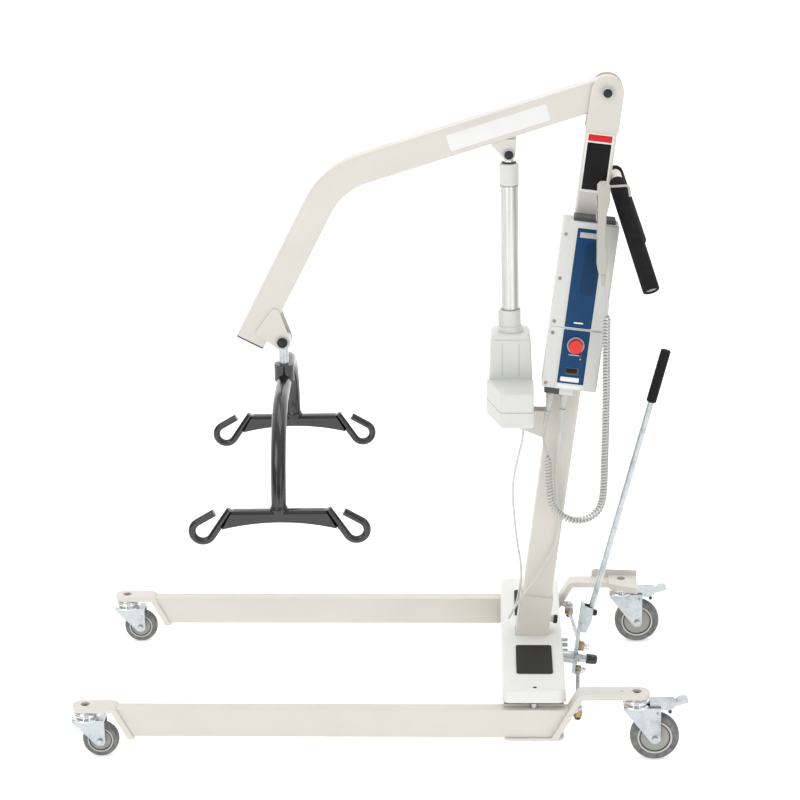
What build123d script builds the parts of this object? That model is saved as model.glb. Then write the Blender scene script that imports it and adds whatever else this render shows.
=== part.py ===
"""Electric patient lift hoist: a wheeled base with two legs that spread, a leaning
mast, a boom raised by an electric actuator, and a four-hook sling spreader.

Frame: millimetres, +Z up, floor at z = 0. The legs point to -X (front), the push
handles and the leg-spreading lever are at +X (rear). "left" is -Y and "right" is
+Y, as seen by the person who pushes the lift.
"""
import os
from math import atan2, cos, degrees, hypot, radians, sin, tan

from build123d import *

os.makedirs("parts", exist_ok=True)

# ---------------------------------------------------------------- driving sizes
FIT = 0.05               # radial running fit of a pin in its hole
GAP = 0.3                # clearance between bodies that slide past each other

# base and legs
HINGE_X = 314.0          # vertical leg hinge pins
HINGE_Y = 295.0
HINGE_PIN_R = 8.0
LEG_WIDTH = 30.0
LEG_BOTTOM = 48.0
LEG_TOP = 108.0
LEG_WALL = 2.5
BAR_THICK = 12.0         # bent flat bars at the leg ends
BAR_WIDTH = 40.0
FRONT_BAR_TOP = 113.0
REAR_BAR_TOP = 147.0
FRONT_SWIVEL = (-603.0, 295.0)
REAR_SWIVEL = (522.0, 300.0)
BAR_OVERRUN = 26.0       # bar end beyond the swivel axis
BEAM_HALF_X = 52.0
BEAM_HALF_Y = 255.0
COVER_X = (249.0, 380.0)
COVER_HALF_Y = 305.0
COVER_TOP = 150.0
COVER_RIM = 122.0

# casters
FRONT_WHEEL_R, FRONT_TRAIL, FRONT_TYRE_W = 37.5, 29.0, 24.0
REAR_WHEEL_R, REAR_TRAIL, REAR_TYRE_W = 50.0, 37.0, 28.0
AXLE_R = 4.0
KINGPIN_R = 6.0
KINGPIN_RECESS = 7.0     # counterbore over each king bolt in the bent bars
PEDAL_PIN = (70.0, 3.0)  # brake pedal's pin, back from the swivel and up from the fork's crown

# mast and boom
PIVOT_X, PIVOT_Z = 461.0, 1317.3
MAST_LEAN = 7.14
MAST_X, MAST_Y = 62.0, 44.0
BOOM_DEPTH, BOOM_WIDTH = 60.0, 40.0
TUBE_WALL = 2.5
BOOM_BEND = 155.0
BOOM_CORNER = (-91.8, 1143.4)
BOOM_END = (-267.5, 804.0)
BOOM_PIN_R = 8.0

# actuator
UPPER_PIN = (265.4, 1191.4)
LOWER_PIN = (271.0, 636.0)
ACTUATOR_PIN_R = 5.0
ROD_R = 10.0
TUBE_R = 18.25

# control box, in mast coordinates: across (toward +X) and along (down from the pivot)
BOX_ACROSS = (-54.5, 57.5)
BOX_BACK_Y, BOX_FACE_Y = -27.0, -75.0
BATTERY_ALONG = (-476.5, -255.0)
CONTROLLER_ALONG = (-606.0, -477.0)
PANEL_ACROSS = (-25.0, 29.0)

# spreader
HANGER_X, HANGER_Z = -201.0, 803.0
SPREADER_TURN = 1.7      # the spreader hangs a little turned on its swivel
ARCH_R = 15.0
ARCH_Z = 716.0
ARCH_HALF = 305.0
HOOK_BAR_R = 7.5
CROSSBAR_Z = 522.0

# leg lever
LEVER_LEAN = 6.9
LEVER_X, LEVER_Z = 408.3, 88.0
LINK_ARM = 28.0
STUD_X, STUD_Y, STUD_Z = 404.0, 268.0, 86.0

SIDES = (("left", -1), ("right", 1))


# ---------------------------------------------------------------- helpers
def write(piece, label):
    """Label a finished piece and write its STEP file."""
    piece.part.label = label
    export_step(piece.part, f"parts/{label}.step")


def write_group(pieces, label):
    """Write several pieces that are fixed together as the solids of one node."""
    with BuildPart() as together:
        for piece in pieces:
            add(piece.part)
    write(together, label)


def side(y):
    """Upright plane at this y: local x is +X, local y is +Z."""
    return Plane.XZ.offset(-y)


def mast_side(y):
    """Plane at this y whose local y runs up the leaning mast, origin at the boom pivot."""
    lean = radians(MAST_LEAN)
    return Plane((PIVOT_X, y, PIVOT_Z), x_dir=(cos(lean), 0, -sin(lean)), z_dir=(0, -1, 0))


def mast_section(along, y=0.0):
    """Plane square to the mast axis; local x is across (+X side), local y is +Y."""
    lean = radians(MAST_LEAN)
    origin = (PIVOT_X + along * sin(lean), y, PIVOT_Z + along * cos(lean))
    return Plane(origin, x_dir=(cos(lean), 0, -sin(lean)), z_dir=(sin(lean), 0, cos(lean)))


def mast_point(across, along, y):
    """World point of a place given in mast coordinates."""
    lean = radians(MAST_LEAN)
    return (PIVOT_X + across * cos(lean) + along * sin(lean), y,
            PIVOT_Z - across * sin(lean) + along * cos(lean))


def lever_plane(forward, y=0.0):
    """Plane square to the lever's shaft: local x is +Y, local y runs up the lever plate."""
    lean = radians(LEVER_LEAN)
    origin = (LEVER_X + forward * cos(lean), y, LEVER_Z - forward * sin(lean))
    return Plane(origin, x_dir=(0, 1, 0), z_dir=(cos(lean), 0, -sin(lean)))


def span(low, high):
    """Centre and size of an interval."""
    return (low + high) / 2, high - low


def swept_tube(points, radius, bends, bore=0.0):
    """Round bar or tube along straight runs joined by tangent arcs."""
    with BuildPart() as tube:
        with BuildLine() as route:
            FilletPolyline(*points, radius=bends)
        with BuildSketch(Plane(route.line @ 0, z_dir=route.line % 0)):
            Circle(radius)
            if bore:
                Circle(bore, mode=Mode.SUBTRACT)
        sweep()
    return tube


def cord_radii(name, points, radius):
    """Arc radii of a cord's route, each as large as its two runs allow."""
    radii = []
    for before, here, after in zip(points, points[1:], points[2:]):
        run_in = Vector(*here) - Vector(*before)
        run_out = Vector(*after) - Vector(*here)
        half_turn = radians(run_in.get_angle(run_out)) / 2
        radii.append(0.45 * min(run_in.length, run_out.length) / tan(half_turn))
    print(name, "radii in diameters:", [round(r / (2 * radius), 1) for r in radii])
    return radii


def cord(name, points, radius):
    """Plain round solid of a cord, with its volume checked against its length."""
    tube = swept_tube(points, radius, cord_radii(name, points, radius))
    length = tube.part.volume / (3.14159265 * radius**2)
    print(name, "length", round(length, 1), "mm")
    return tube


# ---------------------------------------------------------------- crossmember and cover
BEAM_Z = (47.5, 121.5)
PLATE_THICK = 5.0
beam_mid_z, beam_height = span(*BEAM_Z)

with BuildPart() as base_crossmember:
    with BuildSketch(side(0)):
        with Locations((HINGE_X, beam_mid_z)):
            Rectangle(2 * BEAM_HALF_X, beam_height)
            Rectangle(2 * BEAM_HALF_X - 2 * LEG_WALL, beam_height - 2 * LEG_WALL, mode=Mode.SUBTRACT)
    extrude(amount=BEAM_HALF_Y, both=True)
    with BuildSketch(Plane.XY.offset(LEG_BOTTOM - 0.5 - PLATE_THICK)):
        with Locations((HINGE_X, 0)):
            RectangleRounded(122, 630, 12)
    extrude(amount=PLATE_THICK)
    with BuildSketch(Plane.XY.offset(LEG_TOP + 0.5)):
        for _, hand in SIDES:
            with Locations((HINGE_X, hand * (BEAM_HALF_Y + 18.5))):
                Rectangle(122, 37)
    extrude(amount=PLATE_THICK)
    with Locations(*[(HINGE_X, hand * HINGE_Y, 0) for _, hand in SIDES]):
        Cylinder(HINGE_PIN_R + FIT, 300, mode=Mode.SUBTRACT)
write(base_crossmember, "base_crossmember")

with BuildPart() as leg_hinge_pins:
    with Locations(*[Plane.XY.offset(LEG_BOTTOM - 0.5 - PLATE_THICK - 5) * Pos(HINGE_X, hand * HINGE_Y, 0)
                     for _, hand in SIDES]):
        Cylinder(12, 5, align=(Align.CENTER, Align.CENTER, Align.MIN))
        Cylinder(HINGE_PIN_R, 81, align=(Align.CENTER, Align.CENTER, Align.MIN))

cover_mid_x, cover_width = span(*COVER_X)
SLEEVE_X, SLEEVE_Y = 69.0, 51.0
with BuildPart() as base_cover:
    with BuildSketch(Plane.XY.offset(COVER_RIM)):
        with Locations((cover_mid_x, 0)):
            RectangleRounded(cover_width, 2 * COVER_HALF_Y, 18)
    extrude(amount=COVER_TOP - COVER_RIM, taper=4)
    fillet(base_cover.faces().sort_by(Axis.Z)[-1].edges(), 7)
    offset(amount=-2.5, openings=base_cover.faces().sort_by(Axis.Z)[0])
    with BuildSketch(mast_section(-1190)):
        Rectangle(SLEEVE_X + 1, SLEEVE_Y + 1)
    extrude(amount=60, mode=Mode.SUBTRACT)
    with Locations(*[(HINGE_X + 2, hand * 290, COVER_TOP) for _, hand in SIDES]):
        CounterSinkHole(2.2, 4.5)
write(base_cover, "base_cover")

FOOT_PAD = (75.0, 142.0, 2.5)
with BuildPart() as foot_pads:
    for _, hand in SIDES:
        with BuildSketch(Plane((HINGE_X + 3, hand * 153, COVER_TOP + 0.02))):
            RectangleRounded(FOOT_PAD[0], FOOT_PAD[1], 6)
        extrude(amount=FOOT_PAD[2])
write(foot_pads, "foot_pads")


# ---------------------------------------------------------------- legs
def bent_bar_profile(swivel_x, toward, top, cut_low, cut_high, low_z):
    """Side outline of the flat bar that closes a leg end and carries a caster.

    The bar lies on the leg's slanted cut from cut_low to cut_high, then bends level.
    """
    rise = cut_high[1] - cut_low[1]
    slant = (cut_high[0] - cut_low[0]) / rise
    thick_across = BAR_THICK * hypot(1, slant)
    end_x = swivel_x + toward * BAR_OVERRUN
    inner_top = cut_low[0] + slant * (top - cut_low[1])
    inner_low = cut_low[0] + slant * (low_z - cut_low[1])
    outer_bend = cut_low[0] + toward * thick_across + slant * (top - BAR_THICK - cut_low[1])
    outer_low = inner_low + toward * thick_across
    return [(inner_low, low_z), (inner_top, top), (end_x, top),
            (end_x, top - BAR_THICK), (outer_bend, top - BAR_THICK), (outer_low, low_z)]


FRONT_CUT = ((-505.5, LEG_BOTTOM), (-537.0, LEG_TOP))
REAR_CUT = ((349.0, LEG_BOTTOM), (383.0, LEG_TOP))


def make_leg(name, hand):
    """One leg: box tube, bent bars at both ends, hinge bush and tie-rod lug."""
    tube_y = hand * HINGE_Y
    outline = [FRONT_CUT[0], REAR_CUT[0], REAR_CUT[1], FRONT_CUT[1]]
    front = bent_bar_profile(FRONT_SWIVEL[0], -1, FRONT_BAR_TOP, *FRONT_CUT, 43.0)
    rear = bent_bar_profile(REAR_SWIVEL[0], 1, REAR_BAR_TOP, *REAR_CUT, LEG_BOTTOM)
    with BuildPart() as leg:
        with BuildSketch(side(tube_y)):
            Polygon(*outline, align=None)
        extrude(amount=LEG_WIDTH / 2, both=True)
        with BuildSketch(side(tube_y)):
            Polygon(*outline, align=None)
            offset(amount=-LEG_WALL, kind=Kind.INTERSECTION, mode=Mode.REPLACE)
        extrude(amount=LEG_WIDTH / 2 - LEG_WALL, both=True, mode=Mode.SUBTRACT)
        for profile, swivel in ((front, FRONT_SWIVEL), (rear, REAR_SWIVEL)):
            with BuildSketch(side(hand * swivel[1])) as bar_side:
                Polygon(*profile, align=None)
                fillet(bar_side.vertices().group_by(Axis.Y)[-1].sort_by(
                    lambda v: abs(v.X - swivel[0]))[-1], 16)
            extrude(amount=BAR_WIDTH / 2, both=True)
        ends = leg.edges().filter_by(Axis.Z).group_by(Axis.X)
        fillet(ends[0] + ends[-1], BAR_WIDTH / 2 - 0.1)
        with Locations((HINGE_X, tube_y, LEG_BOTTOM)):
            Cylinder(12, LEG_TOP - LEG_BOTTOM, align=(Align.CENTER, Align.CENTER, Align.MIN))
            Cylinder(HINGE_PIN_R + FIT, 200, mode=Mode.SUBTRACT)
        with Locations((-480, tube_y, LEG_BOTTOM)):
            Cylinder(3, 20, mode=Mode.SUBTRACT)
        for swivel in (FRONT_SWIVEL, REAR_SWIVEL):
            with Locations((swivel[0], hand * swivel[1], 130)):
                Cylinder(KINGPIN_R, 120, mode=Mode.SUBTRACT)
        for swivel, top in ((FRONT_SWIVEL, FRONT_BAR_TOP), (REAR_SWIVEL, REAR_BAR_TOP)):
            with Locations((swivel[0], hand * swivel[1], top - KINGPIN_RECESS)):
                Cylinder(9.5, 30, align=(Align.CENTER, Align.CENTER, Align.MIN), mode=Mode.SUBTRACT)
        with BuildSketch(Plane.XY.offset(STUD_Z + 8)):
            with Locations((STUD_X, hand * STUD_Y)):
                Circle(10)
            with Locations((392, hand * 286)):
                Rectangle(16, 12)
            make_hull()
        extrude(amount=4)
    write(leg, name)


for word, hand in SIDES:
    make_leg(f"leg_{word}", hand)


def make_caster_bolts(name, hand):
    """King bolts of one leg's two casters, their heads under the forks."""
    with BuildPart() as bolts:
        for swivel, top in ((FRONT_SWIVEL, FRONT_BAR_TOP), (REAR_SWIVEL, REAR_BAR_TOP)):
            with Locations((swivel[0], hand * swivel[1], top - BAR_THICK - 24)):
                Cylinder(KINGPIN_R, BAR_THICK + 20, align=(Align.CENTER, Align.CENTER, Align.MIN))
                Cylinder(9, 3, align=(Align.CENTER, Align.CENTER, Align.MIN))
    write(bolts, name)


for word, hand in SIDES:
    make_caster_bolts(f"caster_bolts_{word}", hand)

with BuildPart() as leg_bracket_right:
    with BuildSketch(Plane.XY.offset(REAR_BAR_TOP + 0.02)):
        Polygon((493, 322), (558, 322), (556, 236), (493, 266), align=None)
    extrude(amount=3)
    with BuildSketch(side(320.5)) as upstand:
        Polygon((456, 135.8), (558, 135.8), (558, 161), (456, 165), align=None)
        fillet(upstand.vertices().group_by(Axis.X)[0], 8)
    extrude(amount=1.5, both=True)
    with Locations((REAR_SWIVEL[0], REAR_SWIVEL[1], REAR_BAR_TOP)):
        Cylinder(9.5, 20, mode=Mode.SUBTRACT)
    with BuildSketch(Plane((524.5, 251, REAR_BAR_TOP + 3.02), x_dir=(63, -30, 0), z_dir=(0, 0, -1))):
        with Locations((0, -1)):
            Rectangle(66, 2)
    extrude(amount=13)
    with BuildSketch(side(310)):
        with Locations((507, REAR_BAR_TOP - 9.99)):
            Rectangle(200, 20)
    extrude(amount=10.02, both=True, mode=Mode.SUBTRACT)
write(leg_bracket_right, "leg_bracket_right")


# ---------------------------------------------------------------- casters
def make_caster(place, swivel, hand, wheel_r, trail, tyre_w, mount_z, braked):
    """Fork with swivel race and axle, wheel, and a brake pedal where there is one."""
    x, y = swivel[0], hand * swivel[1]
    axle_x = x + trail
    crown_z = mount_z - GAP - 17
    cheek_y = tyre_w / 2 + 4
    with BuildPart() as fork:
        with BuildSketch(side(y)):
            with Locations((axle_x, wheel_r)):
                Circle(11)
            with Locations((x + trail / 2 - 8, crown_z - 2)):
                Rectangle(trail + 38, 4)
            make_hull()
        extrude(amount=cheek_y + 2.5, both=True)
        with BuildSketch(side(y)):
            with Locations((axle_x, (crown_z - 3) / 2)):
                Rectangle(240, crown_z - 3)
        extrude(amount=cheek_y, both=True, mode=Mode.SUBTRACT)
        with BuildSketch(side(y)):
            with Locations((axle_x, wheel_r)):
                Circle(wheel_r + 2.5)
        extrude(amount=cheek_y, both=True, mode=Mode.SUBTRACT)
        with BuildSketch(Plane(origin=(x, y, 0), x_dir=(1, 0, 0), z_dir=(0, -1, 0))):
            with BuildLine():
                Polyline((KINGPIN_R + FIT, crown_z), (KINGPIN_R + FIT, mount_z - GAP), (20, mount_z - GAP),
                         (25, mount_z - GAP - 5), (25, mount_z - GAP - 9), (22, mount_z - GAP - 12),
                         (28, mount_z - GAP - 15), (28, crown_z), close=True)
            make_face()
        revolve(axis=Axis((x, y, 0), (0, 0, 1)))
        with Locations((x, y, crown_z)):
            Cylinder(KINGPIN_R + FIT, 60, mode=Mode.SUBTRACT)
        with BuildSketch(side(y)):
            with Locations((axle_x, wheel_r)):
                Circle(AXLE_R)
        extrude(amount=cheek_y + 5, both=True)
        for face in (-1, 1):
            with BuildSketch(side(y + face * (cheek_y + 4.25))):
                with Locations((axle_x, wheel_r)):
                    Circle(6.5)
            extrude(amount=1.75, both=True)
        if braked:
            with BuildSketch(side(y)):
                Polygon((x + 26, crown_z - 3), (x + 26, crown_z + 11), (x + 76, crown_z + 11),
                        (x + 76, crown_z - 3), (x + 60, crown_z - 8), align=None)
            extrude(amount=14, both=True)
            with BuildSketch(side(y)):
                with Locations((x + 56, crown_z - 1)):
                    Rectangle(48, 19)
            extrude(amount=12, both=True, mode=Mode.SUBTRACT)
            with BuildSketch(side(y)):
                with Locations((x + PEDAL_PIN[0], crown_z + PEDAL_PIN[1])):
                    Circle(1.5)
            extrude(amount=13, both=True)
    write(fork, f"caster_fork_{place}")

    with BuildPart() as wheel:
        with BuildSketch(side(y)):
            with Locations((axle_x, wheel_r)):
                Circle(wheel_r)
                Circle(AXLE_R + FIT, mode=Mode.SUBTRACT)
        extrude(amount=tyre_w / 2, both=True)
        fillet(wheel.edges().filter_by(GeomType.CIRCLE).group_by(SortBy.RADIUS)[-1], tyre_w * 0.28)
        with BuildSketch(side(y)):
            with Locations((axle_x, wheel_r)):
                Circle(wheel_r * 0.60)
                Circle(wheel_r * 0.24, mode=Mode.SUBTRACT)
        extrude(amount=tyre_w, both=True, mode=Mode.SUBTRACT)
        with BuildSketch(side(y)):
            with Locations((axle_x, wheel_r)):
                Circle(wheel_r * 0.60)
                Circle(wheel_r * 0.24, mode=Mode.SUBTRACT)
        extrude(amount=tyre_w / 2 - 4, both=True)
        with BuildSketch(side(y)):
            with Locations((axle_x, wheel_r)):
                Circle(wheel_r * 0.24)
                Circle(AXLE_R + FIT, mode=Mode.SUBTRACT)
        extrude(amount=cheek_y - GAP, both=True)
    write(wheel, f"wheel_{place}")

    if braked:
        with BuildPart() as pedal:
            with BuildSketch(side(y)):
                with BuildLine():
                    heel = (x + 66, crown_z - 1)
                    Polyline((x + 102, crown_z + 14), (x + 104, crown_z + 9), (x + 84, crown_z + 2), heel,
                             (x + 66, crown_z + 7), (x + 80, crown_z + 9))
                    ThreePointArc((x + 80, crown_z + 9), (x + 90, crown_z + 15.5), (x + 102, crown_z + 14))
                make_face()
            extrude(amount=11, both=True)
            with BuildSketch(side(y)):
                with Locations((x + PEDAL_PIN[0], crown_z + PEDAL_PIN[1])):
                    Circle(1.5 + FIT)
            extrude(amount=20, both=True, mode=Mode.SUBTRACT)
        write(pedal, f"brake_pedal_{place}")


for word, hand in SIDES:
    make_caster(f"front_{word}", FRONT_SWIVEL, hand, FRONT_WHEEL_R, FRONT_TRAIL, FRONT_TYRE_W,
                FRONT_BAR_TOP - BAR_THICK, False)
    make_caster(f"rear_{word}", REAR_SWIVEL, hand, REAR_WHEEL_R, REAR_TRAIL, REAR_TYRE_W,
                REAR_BAR_TOP - BAR_THICK, True)


# ---------------------------------------------------------------- mast
SLEEVE_TOP = -1087.5
MAST_HEAD = -55.0
CLAMP_ALONG = -1143.0    # clamp screw through the socket
with BuildPart() as mast_socket:
    with BuildSketch(mast_section(-1260)):
        Rectangle(SLEEVE_X, SLEEVE_Y)
        Rectangle(MAST_X + 2 * FIT, MAST_Y + 2 * FIT, mode=Mode.SUBTRACT)
    extrude(amount=1260 + SLEEVE_TOP)
    split(bisect_by=Plane.XY.offset(BEAM_Z[1] + 0.02), keep=Keep.TOP)
    with Locations(Plane(mast_point(SLEEVE_X / 2, CLAMP_ALONG, 0), z_dir=mast_side(0).x_dir)):
        Cylinder(7, 8, align=(Align.CENTER, Align.CENTER, Align.MIN))
        Cylinder(4 + FIT, 40, mode=Mode.SUBTRACT)
write(mast_socket, "mast_socket")

with BuildPart() as mast:
    with BuildSketch(mast_section(-1260)):
        RectangleRounded(MAST_X, MAST_Y, 5)
        RectangleRounded(MAST_X - 2 * TUBE_WALL, MAST_Y - 2 * TUBE_WALL, 3, mode=Mode.SUBTRACT)
    extrude(amount=1260 + MAST_HEAD)
    split(bisect_by=Plane.XY.offset(BEAM_Z[1] + 0.3), keep=Keep.TOP)
write(mast, "mast")

with BuildPart() as mast_clamp_knob:
    with Locations(Plane(mast_point(SLEEVE_X / 2 + 8 + GAP, CLAMP_ALONG, 0), z_dir=mast_side(0).x_dir)):
        Cylinder(9, 8, align=(Align.CENTER, Align.CENTER, Align.MIN))
    with Locations(Plane(mast_point(MAST_X / 2 + 0.3, CLAMP_ALONG, 0), z_dir=mast_side(0).x_dir)):
        Cylinder(4, 16, align=(Align.CENTER, Align.CENTER, Align.MIN))
write(mast_clamp_knob, "mast_clamp_knob")

CHEEK_THICK = 5.0
CHEEK_Y = MAST_Y / 2 + CHEEK_THICK / 2 + 0.02
with BuildPart() as mast_head_cheeks:
    for _, hand in SIDES:
        with BuildSketch(mast_side(hand * CHEEK_Y)):
            Circle(33)
            with Locations((0, -40)):
                Rectangle(66, 80)
            Circle(BOOM_PIN_R, mode=Mode.SUBTRACT)
        extrude(amount=CHEEK_THICK / 2, both=True)
write(mast_head_cheeks, "mast_head_cheeks")

with BuildPart() as boom_pivot_bolt:
    with BuildSketch(mast_side(0)):
        Circle(BOOM_PIN_R)
    extrude(amount=CHEEK_Y + CHEEK_THICK / 2 + 3, both=True)
    for _, hand in SIDES:
        with BuildSketch(mast_side(hand * (CHEEK_Y + CHEEK_THICK / 2 + 3.5))):
            Circle(10)
        extrude(amount=3.4, both=True)

# push handle: one bent tube behind the mast with two splayed foam grips
HANDLE_TUBE_R, GRIP_R, HANDLE_BEND = 12.0, 17.0, 38.0
HANDLE_BAR = (482.2, 74.0, 1136.0)
HANDLE_END = (541.5, 201.0, 960.0)
handle_points = [(HANDLE_END[0], -HANDLE_END[1], HANDLE_END[2]), (HANDLE_BAR[0], -HANDLE_BAR[1], HANDLE_BAR[2]),
                 HANDLE_BAR, HANDLE_END]
push_handle = swept_tube(handle_points, HANDLE_TUBE_R, HANDLE_BEND, HANDLE_TUBE_R - 2)
write(push_handle, "push_handle")

grip_run = (Vector(*HANDLE_BAR) - Vector(*HANDLE_END)).normalized()
GRIP_TIP, GRIP_TOP_Y = 4.0, 46.0     # foam past the tube's end, and where it stops on the cross bar
with BuildPart() as push_grips:
    for _, hand in SIDES:
        run = Vector(grip_run.X, hand * grip_run.Y, grip_run.Z)
        start = Vector(HANDLE_END[0], hand * HANDLE_END[1], HANDLE_END[2]) - run * GRIP_TIP
        corner = (HANDLE_BAR[0], hand * HANDLE_BAR[1], HANDLE_BAR[2])
        top = (HANDLE_BAR[0], hand * GRIP_TOP_Y, HANDLE_BAR[2])
        sleeve = swept_tube([tuple(start), corner, top], GRIP_R, HANDLE_BEND, HANDLE_TUBE_R + 0.02)
        add(sleeve.part)
    ends = [e for e in push_grips.edges().filter_by(GeomType.CIRCLE) if abs(e.radius - GRIP_R) < 0.01]
    fillet(ends, 3.5)
write(push_grips, "push_grips")

# ---------------------------------------------------------------- boom
boom_slope = degrees(atan2(PIVOT_Z - BOOM_CORNER[1], PIVOT_X - BOOM_CORNER[0]))
BOOM_TAIL = 4.0
tail = (PIVOT_X + BOOM_TAIL * cos(radians(boom_slope)), PIVOT_Z + BOOM_TAIL * sin(radians(boom_slope)))


with BuildPart() as boom:
    with BuildLine(side(0)) as boom_route:
        FilletPolyline(tail, BOOM_CORNER, BOOM_END, radius=BOOM_BEND)
    with BuildSketch(Plane(boom_route.line @ 0, x_dir=(0, 1, 0), z_dir=boom_route.line % 0)):
        RectangleRounded(BOOM_WIDTH, BOOM_DEPTH, 5)
        RectangleRounded(BOOM_WIDTH - 2 * TUBE_WALL, BOOM_DEPTH - 2 * TUBE_WALL, 3, mode=Mode.SUBTRACT)
    sweep()
    with BuildSketch(side(0)):
        with Locations((PIVOT_X, PIVOT_Z)):
            Circle(BOOM_DEPTH / 2)
    extrude(amount=BOOM_WIDTH / 2, both=True)
    with BuildSketch(side(0)):
        with Locations((PIVOT_X, PIVOT_Z)):
            Circle(BOOM_PIN_R + FIT)
    extrude(amount=BOOM_WIDTH, both=True, mode=Mode.SUBTRACT)
write(boom, "boom")

boom_end_dir = Vector(BOOM_END[0] - BOOM_CORNER[0], 0, BOOM_END[1] - BOOM_CORNER[1]).normalized()
boom_end_plane = Plane((BOOM_END[0], 0, BOOM_END[1]), x_dir=(0, 1, 0), z_dir=boom_end_dir)
with BuildPart() as boom_end_cap:
    with BuildSketch(boom_end_plane.offset(0.02)):
        RectangleRounded(BOOM_WIDTH, BOOM_DEPTH, 5)
    extrude(amount=3)
    with BuildSketch(boom_end_plane.offset(0.02)):
        RectangleRounded(BOOM_WIDTH - 2 * TUBE_WALL - 0.2, BOOM_DEPTH - 2 * TUBE_WALL - 0.2, 2.8)
    extrude(amount=-14)
write(boom_end_cap, "boom_end_cap")

EAR_THICK = 4.0
EAR_Y = BOOM_WIDTH / 2 + EAR_THICK / 2 + 0.02
with BuildPart() as boom_end_ears:
    for _, hand in SIDES:
        with BuildSketch(side(hand * EAR_Y)):
            with Locations((HANGER_X, HANGER_Z)):
                Circle(17)
            with Locations((HANGER_X - 44, HANGER_Z + 22)):
                Circle(9)
            with Locations((HANGER_X - 14, HANGER_Z + 62)):
                Circle(9)
            make_hull()
            with Locations((HANGER_X, HANGER_Z)):
                Circle(6, mode=Mode.SUBTRACT)
        extrude(amount=EAR_THICK / 2, both=True)

with BuildPart() as hanger_bolt:
    with BuildSketch(side(0)):
        with Locations((HANGER_X, HANGER_Z)):
            Circle(6)
    extrude(amount=EAR_Y + EAR_THICK / 2 + 4, both=True)
    for _, hand in SIDES:
        with BuildSketch(side(hand * (EAR_Y + EAR_THICK / 2 + 3.05))):
            with Locations((HANGER_X, HANGER_Z)):
                Circle(10.5)
        extrude(amount=3, both=True)

# actuator bracket under the boom: two tapering plates with their bolt
ROD_EYE_W = 22.0
ROD_LENGTH_IN_TUBE = 308.0
BRACKET_THICK = 4.0
BRACKET_Y = ROD_EYE_W / 2 + 1 + BRACKET_THICK / 2
slope = tan(radians(boom_slope))


def boom_underside(x):
    """Height of the boom's lower face at this x, on its straight upper part."""
    return PIVOT_Z + (x - PIVOT_X) * slope - BOOM_DEPTH / 2 / cos(radians(boom_slope)) - 0.02


with BuildPart() as actuator_bracket:
    for _, hand in SIDES:
        with BuildSketch(side(hand * BRACKET_Y)):
            with Locations((UPPER_PIN[0], UPPER_PIN[1])):
                Circle(13)
            with Locations((UPPER_PIN[0] - 10, boom_underside(UPPER_PIN[0]) - 8)):
                Rectangle(50, 12)
            make_hull()
        extrude(amount=BRACKET_THICK / 2, both=True)
    with BuildSketch(side(0)):
        Polygon((150, boom_underside(150)), (400, boom_underside(400)), (400, 1400), (150, 1400), align=None)
    extrude(amount=40, both=True, mode=Mode.SUBTRACT)
    with BuildSketch(side(0)):
        with Locations((UPPER_PIN[0], UPPER_PIN[1])):
            Circle(ACTUATOR_PIN_R)
    extrude(amount=40, both=True, mode=Mode.SUBTRACT)
write_group([boom_end_ears, actuator_bracket], "boom_brackets")

with BuildPart() as actuator_upper_bolt:
    with BuildSketch(side(0)):
        with Locations((UPPER_PIN[0], UPPER_PIN[1])):
            Circle(ACTUATOR_PIN_R)
    extrude(amount=BRACKET_Y + BRACKET_THICK / 2 + 3, both=True)
    for _, hand in SIDES:
        with BuildSketch(side(hand * (BRACKET_Y + BRACKET_THICK / 2 + 2.55))):
            with Locations((UPPER_PIN[0], UPPER_PIN[1])):
                Circle(8.7)
        extrude(amount=2.5, both=True)
write_group([hanger_bolt, actuator_upper_bolt], "boom_bolts")

# ---------------------------------------------------------------- actuator
actuator_dir = Vector(LOWER_PIN[0] - UPPER_PIN[0], 0, LOWER_PIN[1] - UPPER_PIN[1])
actuator_dir = actuator_dir.normalized()


def actuator_plane(down):
    """Plane square to the actuator, this far below its upper pin; local x is +Y."""
    centre = Vector(UPPER_PIN[0], 0, UPPER_PIN[1]) + actuator_dir * down
    return Plane(centre, x_dir=(0, 1, 0), z_dir=actuator_dir)


with BuildPart() as actuator_rod:
    with BuildSketch(side(0)):
        with Locations((UPPER_PIN[0], UPPER_PIN[1])):
            Circle(12)
    extrude(amount=ROD_EYE_W / 2, both=True)
    with BuildSketch(actuator_plane(8)):
        Circle(ROD_R)
    extrude(amount=ROD_LENGTH_IN_TUBE)
    with BuildSketch(side(0)):
        with Locations((UPPER_PIN[0], UPPER_PIN[1])):
            Circle(ACTUATOR_PIN_R + FIT)
    extrude(amount=40, both=True, mode=Mode.SUBTRACT)
write(actuator_rod, "actuator_rod")

CAP_TOP, CAP_BOTTOM = 20.0, 63.0
COLLAR_TOP, COLLAR_BOTTOM = 325.0, 359.0
BODY_TOP = 370.0
with BuildPart() as actuator_tube:
    with BuildSketch(actuator_plane(CAP_BOTTOM + 0.02)):
        Circle(TUBE_R)
        Circle(TUBE_R - 4, mode=Mode.SUBTRACT)
    extrude(amount=COLLAR_TOP - CAP_BOTTOM - 0.04)
write(actuator_tube, "actuator_tube")

with BuildPart() as actuator_end_cap:
    with BuildSketch(actuator_plane(CAP_TOP)):
        Circle(TUBE_R + 1.6)
        Circle(ROD_R + FIT, mode=Mode.SUBTRACT)
    extrude(amount=CAP_BOTTOM - CAP_TOP)
    fillet(actuator_end_cap.edges().filter_by(GeomType.CIRCLE).group_by(Axis.Z)[-1].sort_by(
        SortBy.RADIUS)[-1], 3)

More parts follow.
